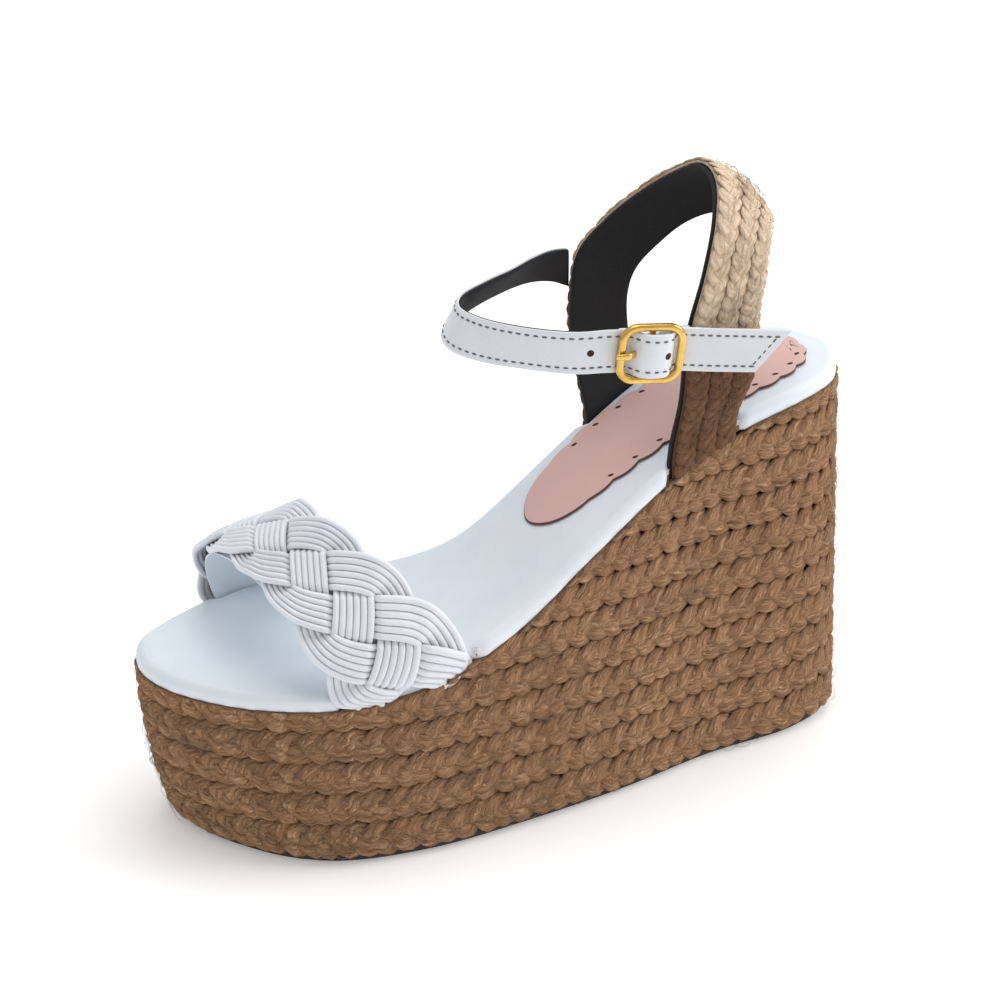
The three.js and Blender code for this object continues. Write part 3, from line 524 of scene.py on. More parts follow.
# %% [markdown]
# ## The jute wrap
# One long three-strand plait is wound round the wedge in eleven courses. Under the platform a course
# goes all the way round. Higher up it runs round the heel only, and both ends tuck in beneath the
# footbed's rim, where the strands are pressed flat against it.

# %% The wall that the wrap lies on
OUTSOLE = 3.0
COURSE = 10.65
FIRST_COURSE = OUTSOLE + 0.3
WALL = 4.4
PROUD = 0.8
TOE_TUCK = 10.0
HEEL_FLARE = 3.0
total = rim_line.length


def shaped(x, z):
    under_platform = np.clip(1 - z / PLATFORM, 0, 1)
    under_heel = np.clip(1 - z / HEEL_HEIGHT, 0, 1)
    toeward = ease(0.25 * LENGTH, 0.5 * LENGTH, -x)
    heelward = ease(0.25 * LENGTH, 0.5 * LENGTH, x)
    return TOE_TUCK * under_platform ** 2 * toeward + HEEL_FLARE * under_heel * heelward


print("wall: tucked in %.0f mm at the toe, flared %.0f mm at the heel" % (TOE_TUCK, HEEL_FLARE))

# %% [markdown]
# The lowest course is a little wider than the others and sits lower, so that it hides the outsole's
# edge. A course stops where the footbed's rim comes down to it.

# %% Wound courses
COURSES = 11
WIDER_BELOW = 0.6
for course in range(COURSES):
    extra = WIDER_BELOW if course == 0 else 0
    middle = FIRST_COURSE + (course + 0.5) * COURSE - extra
    distances = np.linspace(0, total, 4001)
    ceiling = under(outline(distances)[:, 0], RIM_HEIGHT) - (middle - 3.4)
    whole = bool(np.all(ceiling > 0))
    if whole:
        start, run = 0.0, total
    else:
        start = distances[len(distances) // 2 + np.argmax(ceiling[len(distances) // 2:] > 0)] - total
        run = distances[np.argmax(ceiling < 0)] - start

    def on_wall(distance, rise, height, start=start, middle=middle):
        flat = outline(distance + start, PROUD - WALL / 2 + height)
        z = np.maximum(middle + rise, 0.9)
        z = np.minimum(z, under(flat[..., 0], RIM_HEIGHT + 0.15))
        return np.stack([flat[..., 0] + shaped(flat[..., 0], z), flat[..., 1], z], axis=-1)

    strands = plait(
        "jute_plait_%02d" % (course + 1), on_wall, run, 3, 19.0, 2.95 + extra, 0.8, 3.15, 1.45,
        closed=whole, sides=14, seed=1.7 * course,
    )
    piece = weld(strands, "jute_plait_%02d" % (course + 1))
    settle(piece, "sandal", "jute_course_%02d" % (course + 1), "jute_wrap", wrap_jute)
print("wrap: %d courses, each %.2f mm high" % (COURSES, COURSE))

# %% [markdown]
# Jute is hairy: single fibres stand off the plait and lie across it. Each is a three-sided hair of a few
# faces, laid along the wall with a gentle bow, and a fixed seed keeps them the same every time.

# %% Stray fibres
SEED = 11
HAIRS = 1500
HAIR_RADIUS = 0.07
chance = np.random.default_rng(SEED)
hair_start = chance.uniform(0, total, HAIRS)
hair_reach = chance.uniform(5, 16, HAIRS) * chance.choice([-1, 1], HAIRS)
hair_climb = chance.normal(0, 2.6, HAIRS)
hair_bow = chance.normal(0, 1.5, HAIRS)
hair_lift = chance.uniform(0.2, 1.5, HAIRS)
hair_top = under(outline(hair_start)[:, 0], RIM_HEIGHT + 3)
hair_level = 4 + chance.uniform(0, 1, HAIRS) * (hair_top - 6)


def hair_mesh(number):
    def place(a, b):
        bow = np.sin(math.pi * a)
        distance = hair_start[number] + hair_reach[number] * a
        z = hair_level[number] + hair_climb[number] * a + hair_bow[number] * bow
        angle = FULL_TURN * b
        flat = outline(distance, 0.5 + hair_lift[number] * bow + HAIR_RADIUS * np.cos(angle))
        z = z + HAIR_RADIUS * np.sin(angle)
        z = np.clip(z, 0.6, under(flat[..., 0], RIM_HEIGHT + 0.5))
        return np.stack([flat[..., 0] + shaped(flat[..., 0], z), flat[..., 1], z], axis=-1)

    return grid_mesh("hair", 6, 3, place, (4, 1))


hairs = weld([hair_mesh(number) for number in range(HAIRS)], "jute_hairs", close_ends=False)
settle(hairs, "sandal", None, "jute_wrap", stray_jute)
print("stray fibres:", HAIRS)

# %% [markdown]
# ## Outsole
# The outsole is a thin rubber sheet a little smaller than the wrap above it. The outline is filled,
# drawn up by its thickness, and its two edges are rounded with a bevel.

# %% Outsole
SHEET_INSET = 2.2
SHEET_HEIGHT = 3.2
SHEET_EDGE = 0.6
sole = bmesh.new()
bmesh.ops.create_circle(sole, cap_ends=True, segments=240, radius=1)
sole.verts.ensure_lookup_table()
count = len(sole.verts)
around = outline(np.linspace(0, total, count, endpoint=False), -SHEET_INSET)
for vert, (x, y) in zip(sole.verts, around):
    vert.co = Vector((x + float(shaped(x, 0.0)), y, 0)) * MM
drawn = bmesh.ops.extrude_face_region(sole, geom=sole.faces[:])
raised = [item for item in drawn["geom"] if isinstance(item, bmesh.types.BMVert)]
bmesh.ops.translate(sole, verts=raised, vec=(0, 0, SHEET_HEIGHT * MM))
rims = [edge for edge in sole.edges if edge.calc_face_angle(0) > 1.0]
bmesh.ops.bevel(
    sole, geom=rims, offset=SHEET_EDGE * MM, segments=3, affect="EDGES", profile=0.5, material=-1,
)
bmesh.ops.recalc_face_normals(sole, faces=sole.faces)
sole_mesh = bpy.data.meshes.new("outsole_sheet")
for face in sole.faces:
    face.smooth = len(face.verts) < 10
sole.to_mesh(sole_mesh)
sole.free()
outsole_sheet = bpy.data.objects.new("outsole_sheet", sole_mesh)
bpy.context.scene.collection.objects.link(outsole_sheet)
settle(outsole_sheet, "sandal", "outsole", "outsole_rubber", rubber)
print("outsole: %.1f mm thick" % SHEET_HEIGHT)

# %% [markdown]
# ## Footbed cover
# The white leather is drawn over the edge of the footbed and under it, which leaves a soft round rim.
# The cover is a grid whose rows pair a point on the inner side with one on the outer, and whose columns
# climb the wall, roll over the rim and cross the top. Where a strap passes, the rim is pressed in.

# %% A skin inside a closed edge
def toe_share(edge):
    """How far round its edge a shape reaches its toe."""
    points = edge(np.linspace(0, 1, 4001))
    return int(np.argmin(points[:, 0])) / 4000


def drape(name, edge, normal_edge, section, rows, middle, height, pressed=None):
    """A skin over the region inside a closed edge: section lists (inset, depth) from the foot up."""
    tip = toe_share(edge)
    section = np.array(section)
    wall = len(section) - 1
    columns = 2 * wall + middle

    def place(a, b):
        column = b * columns
        from_inner = column <= columns / 2
        step = np.where(from_inner, column, columns - column)
        at_wall = np.minimum(step, wall)
        inset = np.interp(at_wall, np.arange(len(section)), section[:, 0])
        depth = np.interp(at_wall, np.arange(len(section)), section[:, 1])
        crowded = 0.5 - 0.5 * np.cos(math.pi * a)
        spread = 0.35 * a + 0.65 * crowded
        inner = normal_edge(spread * tip, -inset)
        outer = normal_edge(1 - spread * (1 - tip), -inset)
        if pressed:
            inner = pressed(inner, 1)
            outer = pressed(outer, -1)
        share = np.clip((column - wall) / middle, 0, 1)[:, None]
        flat = inner + (outer - inner) * share
        return np.stack([flat[:, 0], flat[:, 1], height(flat[:, 0], depth, share[:, 0])], axis=-1)

    return grid_mesh(name, rows, columns, place, (60, 30))


print("skin helper ready")

# %% [markdown]
# The heel strap and the braid come up from under the cover, so the rim is pressed in by their
# thickness at their four feet, and eases back out on either side.

# %% Rim pressed in at the straps
VAMP_OUTER_X = -45.0
VAMP_INNER_X = -58.0
BRAID_HALF = 21.0
HEEL_FEET = {-1: (45.0, 69.0), 1: (58.0, 77.0)}


HEEL_PRESS = 3.0
VAMP_PRESS = 2.4


def press_in(points, side):
    x = points[:, 0]
    low, high = HEEL_X - HEEL_FEET[side][1], HEEL_X - HEEL_FEET[side][0]
    heel_foot = ease(low - 2.5, low, x) * (1 - ease(high, high + 2.5, x)) * HEEL_PRESS
    middle = VAMP_OUTER_X if side < 0 else VAMP_INNER_X
    low, high = middle - BRAID_HALF + 1, middle + BRAID_HALF - 1
    vamp_foot = ease(low - 3, low, x) * (1 - ease(high, high + 3, x)) * VAMP_PRESS
    near_rim = ease(6, 1, np.abs(points[:, 1] - rim_y(x, side)))
    moved = points.copy()
    moved[:, 1] -= side * (heel_foot + vamp_foot) * near_rim
    return moved


print("rim pressed in %.1f mm at the heel strap and %.1f mm at the braid" % (HEEL_PRESS, VAMP_PRESS))

# %% [markdown]
# The cover's section starts under the rim, climbs its wall and rolls over in a quarter circle. A
# Solidify modifier then gives the leather its thickness, inwards, so the outside keeps its shape.

# %% Cover over the footbed
ROLL = 2.6
LEATHER_THICK = 1.1
rim_section = [(1.3, 5.0), (0.5, 5.1), (0.12, 4.7), (0.0, 4.0), (0.0, 3.2)]
for degrees in range(0, 91, 15):
    angle = math.radians(degrees)
    rim_section.append((ROLL * (1 - math.cos(angle)), ROLL * (1 - math.sin(angle))))


def rim_edge(share):
    return outline(np.asarray(share) * total)


def rim_normal_edge(share, outset):
    return outline(share * total, outset)


def footbed_height(x, depth, share):
    return under(x, depth)


cover = weld(
    [drape("cover", rim_edge, rim_normal_edge, rim_section, 190, 14, footbed_height, press_in)],
    "leather_cover", close_ends=False,
)
wall = cover.modifiers.new("thickness", "SOLIDIFY")
wall.thickness = LEATHER_THICK * MM
wall.offset = -1
settle(cover, "sandal", "footbed_cover", "white_leather", white_leather)
print("cover: %.1f mm leather" % LEATHER_THICK)

# %% [markdown]
# ## Heel sock
# The pink sock is stamped out with a scalloped edge and a small hole punched in each valley. It is
# smooth at its rounded front. Its cut edge is painted dark as a fine line: painted shadow round the edge.

# %% The sock's scalloped edge
SOCK_LENGTH = 97.0
SOCK_WIDTH = 33.0
SOCK_BACK = HEEL_X - 9.5
SOCK_FRONT = SOCK_BACK - SOCK_LENGTH
SOCK_THICK = 1.0
SCALLOP_DEPTH = 1.3


def sock_point(x, share):
    middle = np.interp(x, [SOCK_FRONT, SOCK_BACK], [-7.5, 3.2])
    return (x, middle + share * SOCK_WIDTH / 2)


def sock_side(sign):
    return [
        sock_point(SOCK_BACK - 3, 0.55 * sign), sock_point(SOCK_BACK - 14, 0.95 * sign),
        sock_point(SOCK_BACK - 40, sign), sock_point(SOCK_FRONT + 22, 0.93 * sign),
        sock_point(SOCK_FRONT + 5, 0.6 * sign),
    ]


sock_line = Line(
    [sock_point(SOCK_BACK, 0)] + sock_side(1) + [sock_point(SOCK_FRONT, 0)] + sock_side(-1)[::-1],
    closed=True,
)
SCALLOPS = round(sock_line.length / 8.5)


def sock_edge(share, outset=0.0):
    distance = np.mod(np.asarray(share), 1) * sock_line.length
    here = sock_line.along(distance)
    ahead = sock_line.along(np.mod(distance + 0.3, sock_line.length))
    behind = sock_line.along(np.mod(distance - 0.3, sock_line.length))
    tangent = unit(ahead - behind)
    outward = np.stack([tangent[..., 1], -tangent[..., 0]], axis=-1)
    fade = ease(SOCK_FRONT + 8, SOCK_FRONT + 22, here[..., 0])
    arc = np.abs(np.sin(math.pi * SCALLOPS * distance / sock_line.length)) ** 0.8
    return here + outward * (SCALLOP_DEPTH * fade * (arc - 1) + outset)[..., None]


print("sock: %d scallops" % SCALLOPS)

# %% [markdown]
# The sock is the same kind of skin as the cover, with a much thinner wall. Faces that look sideways
# are its cut edge, and they take the dark finish that is painted shadow.

# %% Sock
SOCK_GAP = 0.3


def sock_height(x, depth, share):
    return top_z(x) + SOCK_GAP + SOCK_THICK - depth


sock_section = [
    (1.2, 0.95), (0.15, 0.95), (0.0, 0.85), (0.0, 0.25), (0.12, 0.07), (0.4, 0.0), (2.5, 0.0),
]
sock = weld(
    [drape("sock", sock_edge, sock_edge, sock_section, 260, 8, sock_height)], "pink_sock",
    close_ends=False,
)
sock_wall = sock.modifiers.new("thickness", "SOLIDIFY")
sock_wall.thickness = 0.25 * MM
sock_wall.offset = -1
settle(sock, "sandal", "heel_sock", "pink_sock", pink_leather)
# The sideways faces take the painted shadow.
sock.data.materials.append(painted_edge_shadow)
for face in sock.data.polygons:
    if abs(face.normal.z) < 0.6:
        face.material_index = 1
print("sock: %d faces" % len(sock.data.polygons))

# %% [markdown]
# A punched hole would cut through a very thin skin. A dark oval disc just above the leather stands
# for the hole and keeps the sock whole: its dark colour is painted shade, the shade inside the hole.
# Each is one cone of no slope, leant to the footbed and turned along the edge.

# %% Punched holes
HOLE_INSET = 2.0
HOLE_RADIUS = 0.75
holes = bmesh.new()
for number in range(SCALLOPS):
    share = number / SCALLOPS
    spot = sock_edge(np.array([share]), np.array([-HOLE_INSET]))[0]
    if spot[0] < SOCK_FRONT + 20:
        continue
    ahead = sock_edge(np.array([share + 0.004]), np.array([-HOLE_INSET]))[0]
    slope = float(top_z(spot[0] + 0.5) - top_z(spot[0] - 0.5))
    height = float(top_z(spot[0])) + SOCK_GAP + 0.03 + SOCK_THICK
    lift = Matrix.Translation(Vector((spot[0], spot[1], height)) * MM)
    lean = Matrix.Rotation(-math.atan(slope), 4, "Y")
    turn = Matrix.Rotation(math.atan2(ahead[1] - spot[1], ahead[0] - spot[0]), 4, "Z")
    bmesh.ops.create_cone(
        holes, cap_ends=True, segments=12, radius1=HOLE_RADIUS * MM, radius2=HOLE_RADIUS * MM,
        depth=0.06 * MM,
        matrix=lift @ lean @ turn @ Matrix.Diagonal((1.35, 0.75, 1, 1)),
    )
hole_mesh = bpy.data.meshes.new("sock_holes")
holes.to_mesh(hole_mesh)
holes.free()
sock_holes = bpy.data.objects.new("sock_holes", hole_mesh)
bpy.context.scene.collection.objects.link(sock_holes)
settle(sock_holes, "sandal", None, "pink_sock", punched)
print("punched holes: %d faces" % len(sock_holes.data.polygons))

# %% [markdown]
# ## Vamp braid
# Four strands of six round cords are braided flat over an arch from rim to rim. The arch leans
# towards the toe, and its far foot is set further forward than its near one, so the braid's own axes
# are set square on it before any cord is laid.

# %% The arch that carries the braid
VAMP_RISE = 36.5
FULLNESS = 0.92
VAMP_LEAN = -20.0
VAMP_FOOT = 4.7
FOOT_DROP = 120.0


def arch_point(across, turn):
    outer_x = VAMP_OUTER_X + across
    inner_x = VAMP_INNER_X + across
    outer = np.stack([outer_x, rim_y(outer_x, -1) + 2.0, top_z(outer_x) - VAMP_FOOT], axis=-1)
    inner = np.stack([inner_x, rim_y(inner_x, 1) - 2.0, top_z(inner_x) - VAMP_FOOT], axis=-1)
    inside = np.clip(turn, 0, 1)
    swing = 0.5 - 0.5 * np.cos(math.pi * inside)
    lift = np.sin(math.pi * inside) ** FULLNESS
    point = outer + (inner - outer) * swing[..., None]
    point[..., 0] += (VAMP_LEAN - 0.38 * across) * lift
    point[..., 2] += (VAMP_RISE + 0.17 * across) * lift - np.abs(turn - inside) * FOOT_DROP
    return point


turns = np.linspace(0, 1, 801)
arch_steps = np.linalg.norm(np.diff(arch_point(np.zeros(801), turns), axis=0), axis=1)
arch_run = np.concatenate([[0], np.cumsum(arch_steps)])
ARCH = arch_run[-1]


def arch_at(across, along):
    turn = np.interp(along, arch_run, turns)
    turn = np.where(along < 0, along / FOOT_DROP, turn)
    turn = np.where(along > ARCH, 1 + (along - ARCH) / FOOT_DROP, turn)
    return arch_point(across, turn)


def over_arch(across, along, height):
    right = arch_at(across + 0.6, along) - arch_at(across - 0.6, along)
    onward = arch_at(across, along + 0.6) - arch_at(across, along - 0.6)
    return arch_at(across, along) + unit(np.cross(right, onward)) * height[..., None]


stations = np.linspace(-6, ARCH + 6, 400)
zero = np.zeros(400)
to_right = (arch_at(zero + 0.6, stations) - arch_at(zero - 0.6, stations)) / 1.2
go_on = unit(arch_at(zero, stations + 0.6) - arch_at(zero, stations - 0.6))
skews = np.sum(to_right * go_on, axis=-1)
skews = skews * ease(-2, 16, stations) * ease(-2, 16, ARCH - stations)


def braid_place(across, along, height):
    """The arch leans, so a braid laid straight on it would be sheared: this sets it square."""
    return over_arch(across, along - across * np.interp(along, stations, skews), height)


print("vamp arch: %.0f mm from rim to rim" % ARCH)

# %% [markdown]
# A strand's centre swings from edge to edge. It meets the other three strands at each eighth of its
# swing, and passes over and under them in turn. The cords lie side by side across the strand, so
# each follows the same path, set over, and all six change level along the same line: halfway
# between two strands that come from the other side.

# %% Over and under
BRAID_PITCH = 72.0
BRAID_REACH = 15.8
BRAID_START = -0.16
CORD = 2.2
CORD_UNDER = 0.45 + CORD / 2
CORD_OVER = CORD_UNDER + CORD * 0.98
EDGE_TURN = 0.04


def crossing_level(across, run, own, strand):
    """Over (+1) or under (-1), changing halfway between two strands that come from the far side."""
    edge = np.arccos(np.clip(across / BRAID_REACH, -1, 1)) / FULL_TURN
    own = np.mod(own, 1)
    leaving = ease(-EDGE_TURN, EDGE_TURN, 0.25 - np.abs(own - 0.25)) * (own < 0.75)
    leaving = np.where(own > 0.75, ease(-EDGE_TURN, EDGE_TURN, own - 1), leaving)

    def weave(other):
        count = np.mod(strand - 4 * (other - run / BRAID_PITCH - BRAID_START), 4)
        dome = 0.2 * np.cos(math.pi * (count - np.round(count)))
        level = 1 - 2 * ease(0.64, 0.36, np.abs(count - 2))
        return level, dome

    onward, onward_dome = weave(1 - edge)
    back, back_dome = weave(edge)
    level = leaving * onward - (1 - leaving) * back
    return level + (0.5 + 0.5 * level) * (leaving * onward_dome + (1 - leaving) * back_dome)


print("braid: pitch %.0f mm, cords %.1f mm thick" % (BRAID_PITCH, CORD))

# %% [markdown]
# Each cord is a bent grid wrapped round its path. Near the rim the cords sink together, because the
# footbed's leather holds them down there.

# %% Four strands of six cords
CORDS = 6


def cord_mesh(strand, number):
    aside = (number - (CORDS - 1) / 2) * CORD * 0.99

    def place(a, b):
        along = -1.0 + a * (ARCH + 2.0)
        turns_done = along / BRAID_PITCH + strand / 4 + BRAID_START
        centre = BRAID_REACH * np.cos(FULL_TURN * turns_done)
        slope = -BRAID_REACH * np.sin(FULL_TURN * turns_done) * FULL_TURN / BRAID_PITCH
        size = np.hypot(1, slope)
        across = centre + aside / size
        run = along - aside * slope / size
        level = crossing_level(across, run, turns_done, strand)
        middle = CORD_UNDER + (CORD_OVER - CORD_UNDER) * (0.5 + 0.5 * level)
        foot = np.minimum(ease(-3, 7, run), ease(-3, 7, ARCH - run))
        middle = CORD_UNDER - 1.2 + (middle - CORD_UNDER + 1.2) * foot
        wide = CORD / 2 * np.cos(FULL_TURN * b)
        high = CORD / 2 * np.sin(FULL_TURN * b)
        return braid_place(across + wide / size, run - wide * slope / size, middle + high)

    def lay(a, b):
        return 0.5 + 0.5 * np.sin(FULL_TURN * b)

    return grid_mesh("cord", 220, 12, place, (150, 1.0), lay)


for strand in range(4):
    name = "vamp_cords_%d" % (strand + 1)
    cords = weld([cord_mesh(strand, number) for number in range(CORDS)], name)
    settle(cords, "sandal", "vamp_strand_%d" % (strand + 1), "white_cord", white_cord)
print("braid: 4 strands of %d cords" % CORDS)

# %% [markdown]
# Under the braid lies a thin white lining that keeps the cords off the foot. It is one bent grid,
# wrapped round a flat section with round edges.

# %% Flat straps with round edges
def strap_section(b, half_width, low, high, groove=0.0, crown=0.0):
    """Once round a flat strap: the place across it and the height, for b from 0 to 1."""
    angle = FULL_TURN * b
    c, s = np.cos(angle), np.sin(angle)
    across = half_width * np.sign(c) * np.abs(c) ** 0.35
    height = (low + high) / 2 + (high - low) / 2 * np.sign(s) * np.abs(s) ** 0.3
    top = s > 0
    seam = np.exp(-((np.abs(across) - (half_width - 2.0)) / 0.45) ** 2)
    height = height + np.where(top, crown * (1 - (across / half_width) ** 2) - groove * seam, 0)
    return across, height


def lining_place(a, b):
    across, height = strap_section(b, BRAID_HALF - 1.5, -0.4, 0.4)
    return over_arch(across, -4 + a * (ARCH + 8), height)


vamp_lining = weld([grid_mesh("lining", 90, 40, lining_place, (120, 42))], "vamp_inside")
settle(vamp_lining, "sandal", "vamp_lining", "white_leather", white_leather)
print("vamp lining: %d faces" % len(vamp_lining.data.polygons))

# %% [markdown]
# ## Heel strap
# The strap that holds the heel is a band of plaited jute on a black lining. Its two edges are two
# smooth lines, and a ribbon between them, a little rounder at the back, carries everything: the
# plaits outside and the lining inside.

# %% A ribbon between two edges
class Ribbon:
    def __init__(self, upper, lower, crown=0.0):
        self.upper = Line(upper)
        self.lower = Line(lower)
        self.crown = crown
        share = np.linspace(0, 1, 2001)
        middle = (self.upper.at(share) + self.lower.at(share)) / 2
        self.share = share
        self.run = np.concatenate([[0], np.cumsum(np.linalg.norm(np.diff(middle, axis=0), axis=1))])
        self.length = self.run[-1]

    def flat(self, share, across):
        low, high = self.lower.at(share), self.upper.at(share)
        return low + (high - low) * (across + 0.5)[..., None]

    def normal_of(self, surface, share, across, reach):
        before = surface(np.maximum(share - 0.006, 0), across)
        after = surface(np.minimum(share + 0.006, 1), across)
        rise = surface(share, across + reach) - surface(share, across - reach)
        return unit(np.cross(after - before, rise))

    def point(self, share, across):
        flat = self.flat(share, across)
        if not self.crown:
            return flat
        bulge = self.crown * np.sin(math.pi * share) ** 4 * (1 - 4 * across ** 2)
        zero = np.zeros_like(across)
        return flat + self.normal_of(self.flat, share, zero, 0.5) * bulge[..., None]

    def width(self, share):
        return np.linalg.norm(self.upper.at(share) - self.lower.at(share), axis=-1)

    def place(self, distance, sideways, height):
        """Distance and sideways in millimetres from the middle line; height over the ribbon."""
        share = np.interp(distance, self.run, self.share)
        across = sideways / self.width(share)
        normal = self.normal_of(self.point, share, across, 0.05)
        return self.point(share, across) + normal * height[..., None]


def heel_point(from_heel, y, over):
    return (HEEL_X - from_heel, y, HEEL_HEIGHT + over)


def strap_foot(from_heel, side, rise):
    x = HEEL_X - from_heel
    return (x, float(rim_y(x, side)) - side * 0.5, float(top_z(x)) + rise)


heel_ribbon = Ribbon(
    [
        strap_foot(69, -1, -12), strap_foot(69, -1, 2), heel_point(67.5, -31.5, 6),
        heel_point(66, -32, 28), heel_point(61, -31, 46), heel_point(55.5, -26, 61),
        heel_point(50, -14, 69), heel_point(49, -2, 69.5), heel_point(53, 9, 63),
        heel_point(60, 18, 54), heel_point(68, 23, 45), heel_point(76, 25, 35),
        heel_point(78, 26, 22), heel_point(78, 26, 6), strap_foot(77, 1, 2), strap_foot(77, 1, -12),
    ],
    [
        strap_foot(45, -1, -12), strap_foot(45, -1, 2), heel_point(43.5, -31, 12),
        heel_point(42, -31, 32), heel_point(39.5, -29.5, 44), heel_point(36, -24, 51),
        heel_point(31, -14, 52), heel_point(33, -3, 51), heel_point(39, 5, 49),
        heel_point(45, 12, 44), heel_point(51.5, 18, 36), heel_point(57, 22.5, 28),
        heel_point(59, 25.5, 19), heel_point(58.5, 27, 6), strap_foot(58, 1, 2),
        strap_foot(58, 1, -12),
    ],
    crown=3.5,
)
PLAIT_WIDTH = 20.0
print("heel strap: %.0f mm long" % heel_ribbon.length)

# %% [markdown]
# Three narrow three-strand plaits lie side by side on a thin jute backing, which closes the gaps
# between them. Stray hairs lie on top. The lining covers the inside and is just as wide.

# %% The strap's plaits and lining
FOOT_START = 6.5


def on_heel_strap(distance, rise, height):
    distance = distance + FOOT_START
    share = np.interp(distance, heel_ribbon.run, heel_ribbon.share)
    sideways = rise / PLAIT_WIDTH * heel_ribbon.width(share)
    return heel_ribbon.place(distance, sideways, height + 0.6)


def heel_layer_place(low, high, spare):
    def place(a, b):
        distance = FOOT_START + a * (heel_ribbon.length - 2 * FOOT_START)
        share = np.interp(distance, heel_ribbon.run, heel_ribbon.share)
        across, height = strap_section(b, 1.0, low, high)
        return heel_ribbon.place(distance, across * (heel_ribbon.width(share) / 2 + spare), height)

    return place


strands = [grid_mesh("backing", 150, 36, heel_layer_place(-0.85, 0.35, -0.5), (50, 8))]
for column in (-6.35, 0.0, 6.35):
    def in_column(distance, rise, height, column=column):
        return on_heel_strap(distance, rise + column, height)

    strands += plait(
        "heel_plait", in_column, heel_ribbon.length - 2 * FOOT_START, 3, 12.0, 1.75, 0.35, 1.75, 0.6,
        sides=10, steps=16, wander=0.4, seed=column,
    )
def scattered(count, reach):
    """Fixed random starts, reaches, climbs and bows for a number of hairs."""
    start = chance.uniform(0, 1, count)
    run = chance.uniform(0.3, 1, count) * reach * chance.choice([-1, 1], count)
    return start, run, chance.uniform(-1, 1, count), chance.normal(0, 1.2, count)


STRAP_HAIRS = 420
hair_begin, hair_run, hair_side, hair_turn = scattered(STRAP_HAIRS, 9)


def strap_hair(number):
    def place(a, b):
        bow = np.sin(math.pi * a)
        distance = FOOT_START + 8 + hair_begin[number] * (heel_ribbon.length - 32) + hair_run[number] * a
        sideways = 8 * hair_side[number] + hair_turn[number] * a + 0.06 * np.cos(FULL_TURN * b)
        height = 1.6 + 0.9 * bow + 0.06 * np.sin(FULL_TURN * b)
        return heel_ribbon.place(distance, np.clip(sideways, -10, 10), height)

    return grid_mesh("hair", 6, 3, place, (4, 1))


strands += [strap_hair(number) for number in range(STRAP_HAIRS)]
heel_plait = weld(strands, "heel_plait")
settle(heel_plait, "sandal", "heel_strap_jute", "jute_strap", strap_jute)
lining_place = heel_layer_place(-2.6, -0.9, 0.15)
heel_lining = weld([grid_mesh("heel_lining", 150, 36, lining_place, (200, 44))], "heel_lining")
settle(heel_lining, "sandal", "heel_strap_lining", "black_lining", black_lining)
print("heel strap: %d faces of jute" % len(heel_plait.data.polygons))

# %% [markdown]
# ## Buckle
# The buckle is a gilt wire frame, a rounded rectangle with a bar across its middle, and a prong that
# turns on the bar and rests on the frame. It is drawn flat in its own axes, with x along the strap
# and z outwards, and then stood in its place by one matrix.

# %% The buckle's own axes
GAP = 0.3
YAW = math.radians(6)
LEAN = math.radians(6.5)
TAIL = 1.8
SIDE_BAR = 20.5 / 2 - 1.1
UNDER_BAR = -(1.1 + 2 * GAP + TAIL / 2)
OVER_BAR = -1 + 2.05 + GAP + TAIL / 2
BUCKLE_Y = -32 - 2.2 - 2 * GAP + UNDER_BAR - TAIL / 2 + SIDE_BAR * math.sin(YAW)
BUCKLE_AT = Vector(heel_point(80.8, BUCKLE_Y, 27.9))
along_axis = Vector((math.cos(YAW) * math.cos(LEAN), -math.sin(YAW) * math.cos(LEAN), -math.sin(LEAN)))
out_axis = Vector((-math.sin(YAW), -math.cos(YAW), 0))
bar_axis = out_axis.cross(along_axis)
buckle_place = Matrix((along_axis, bar_axis, out_axis)).transposed().to_4x4()
buckle_place.translation = BUCKLE_AT
turned = np.array(buckle_place.to_3x3())


def from_buckle(points):
    return points @ turned.T + np.array(BUCKLE_AT)


def wire_section(b, half_a, half_b, squareness=0.75):
    angle = FULL_TURN * b
    c, s = np.cos(angle), np.sin(angle)
    return half_a * np.sign(c) * np.abs(c) ** squareness, half_b * np.sign(s) * np.abs(s) ** squareness


# %% [markdown]
# The frame is a wire swept round a rounded rectangle, with a straight bar across it.

# %% Frame and bar
CORNER = 4.4
WIRE = 1.15
HALF_HEIGHT = 8.25
wire_path = []
wire_out = []
for quarter, (sx, sy) in enumerate(((1, 1), (-1, 1), (-1, -1), (1, -1))):
    for step in range(13):
        angle = math.radians(90 * quarter + 7.5 * step)
        outward = np.array([math.cos(angle), math.sin(angle)])
        centre = np.array([sx * (SIDE_BAR - CORNER), sy * (HALF_HEIGHT - CORNER)])
        wire_path.append(centre + CORNER * outward)
        wire_out.append(outward)
wire_path = np.array(wire_path + wire_path[:1])
wire_out = np.array(wire_out + wire_out[:1])


def frame_place(a, b):
    index = np.round(a * (len(wire_path) - 1)).astype(int)
    aside, lift = wire_section(b, WIRE, WIRE)
    flat = wire_path[index] + wire_out[index] * aside[:, None]
    return from_buckle(np.stack([flat[:, 0], flat[:, 1], lift], axis=-1))


def bar_place(a, b):
    angle = FULL_TURN * b
    return from_buckle(np.stack([np.cos(angle), (a - 0.5) * 16.6, np.sin(angle) - 1], axis=-1))


wire = weld(
    [
        grid_mesh("wire", len(wire_path) - 1, 20, frame_place, (70, 7)),
        grid_mesh("bar", 12, 16, bar_place, (17, 6)),
    ],
    "buckle_wire",
)
settle(wire, "buckle_frame", "buckle_frame", "gold_metal", gilt)
print("buckle frame: %d faces" % len(wire.data.polygons))

# %% [markdown]
# The prong is a flat pin with an eye round the bar. It bends down to pass the leather and comes up to
# rest on the frame's front bar.

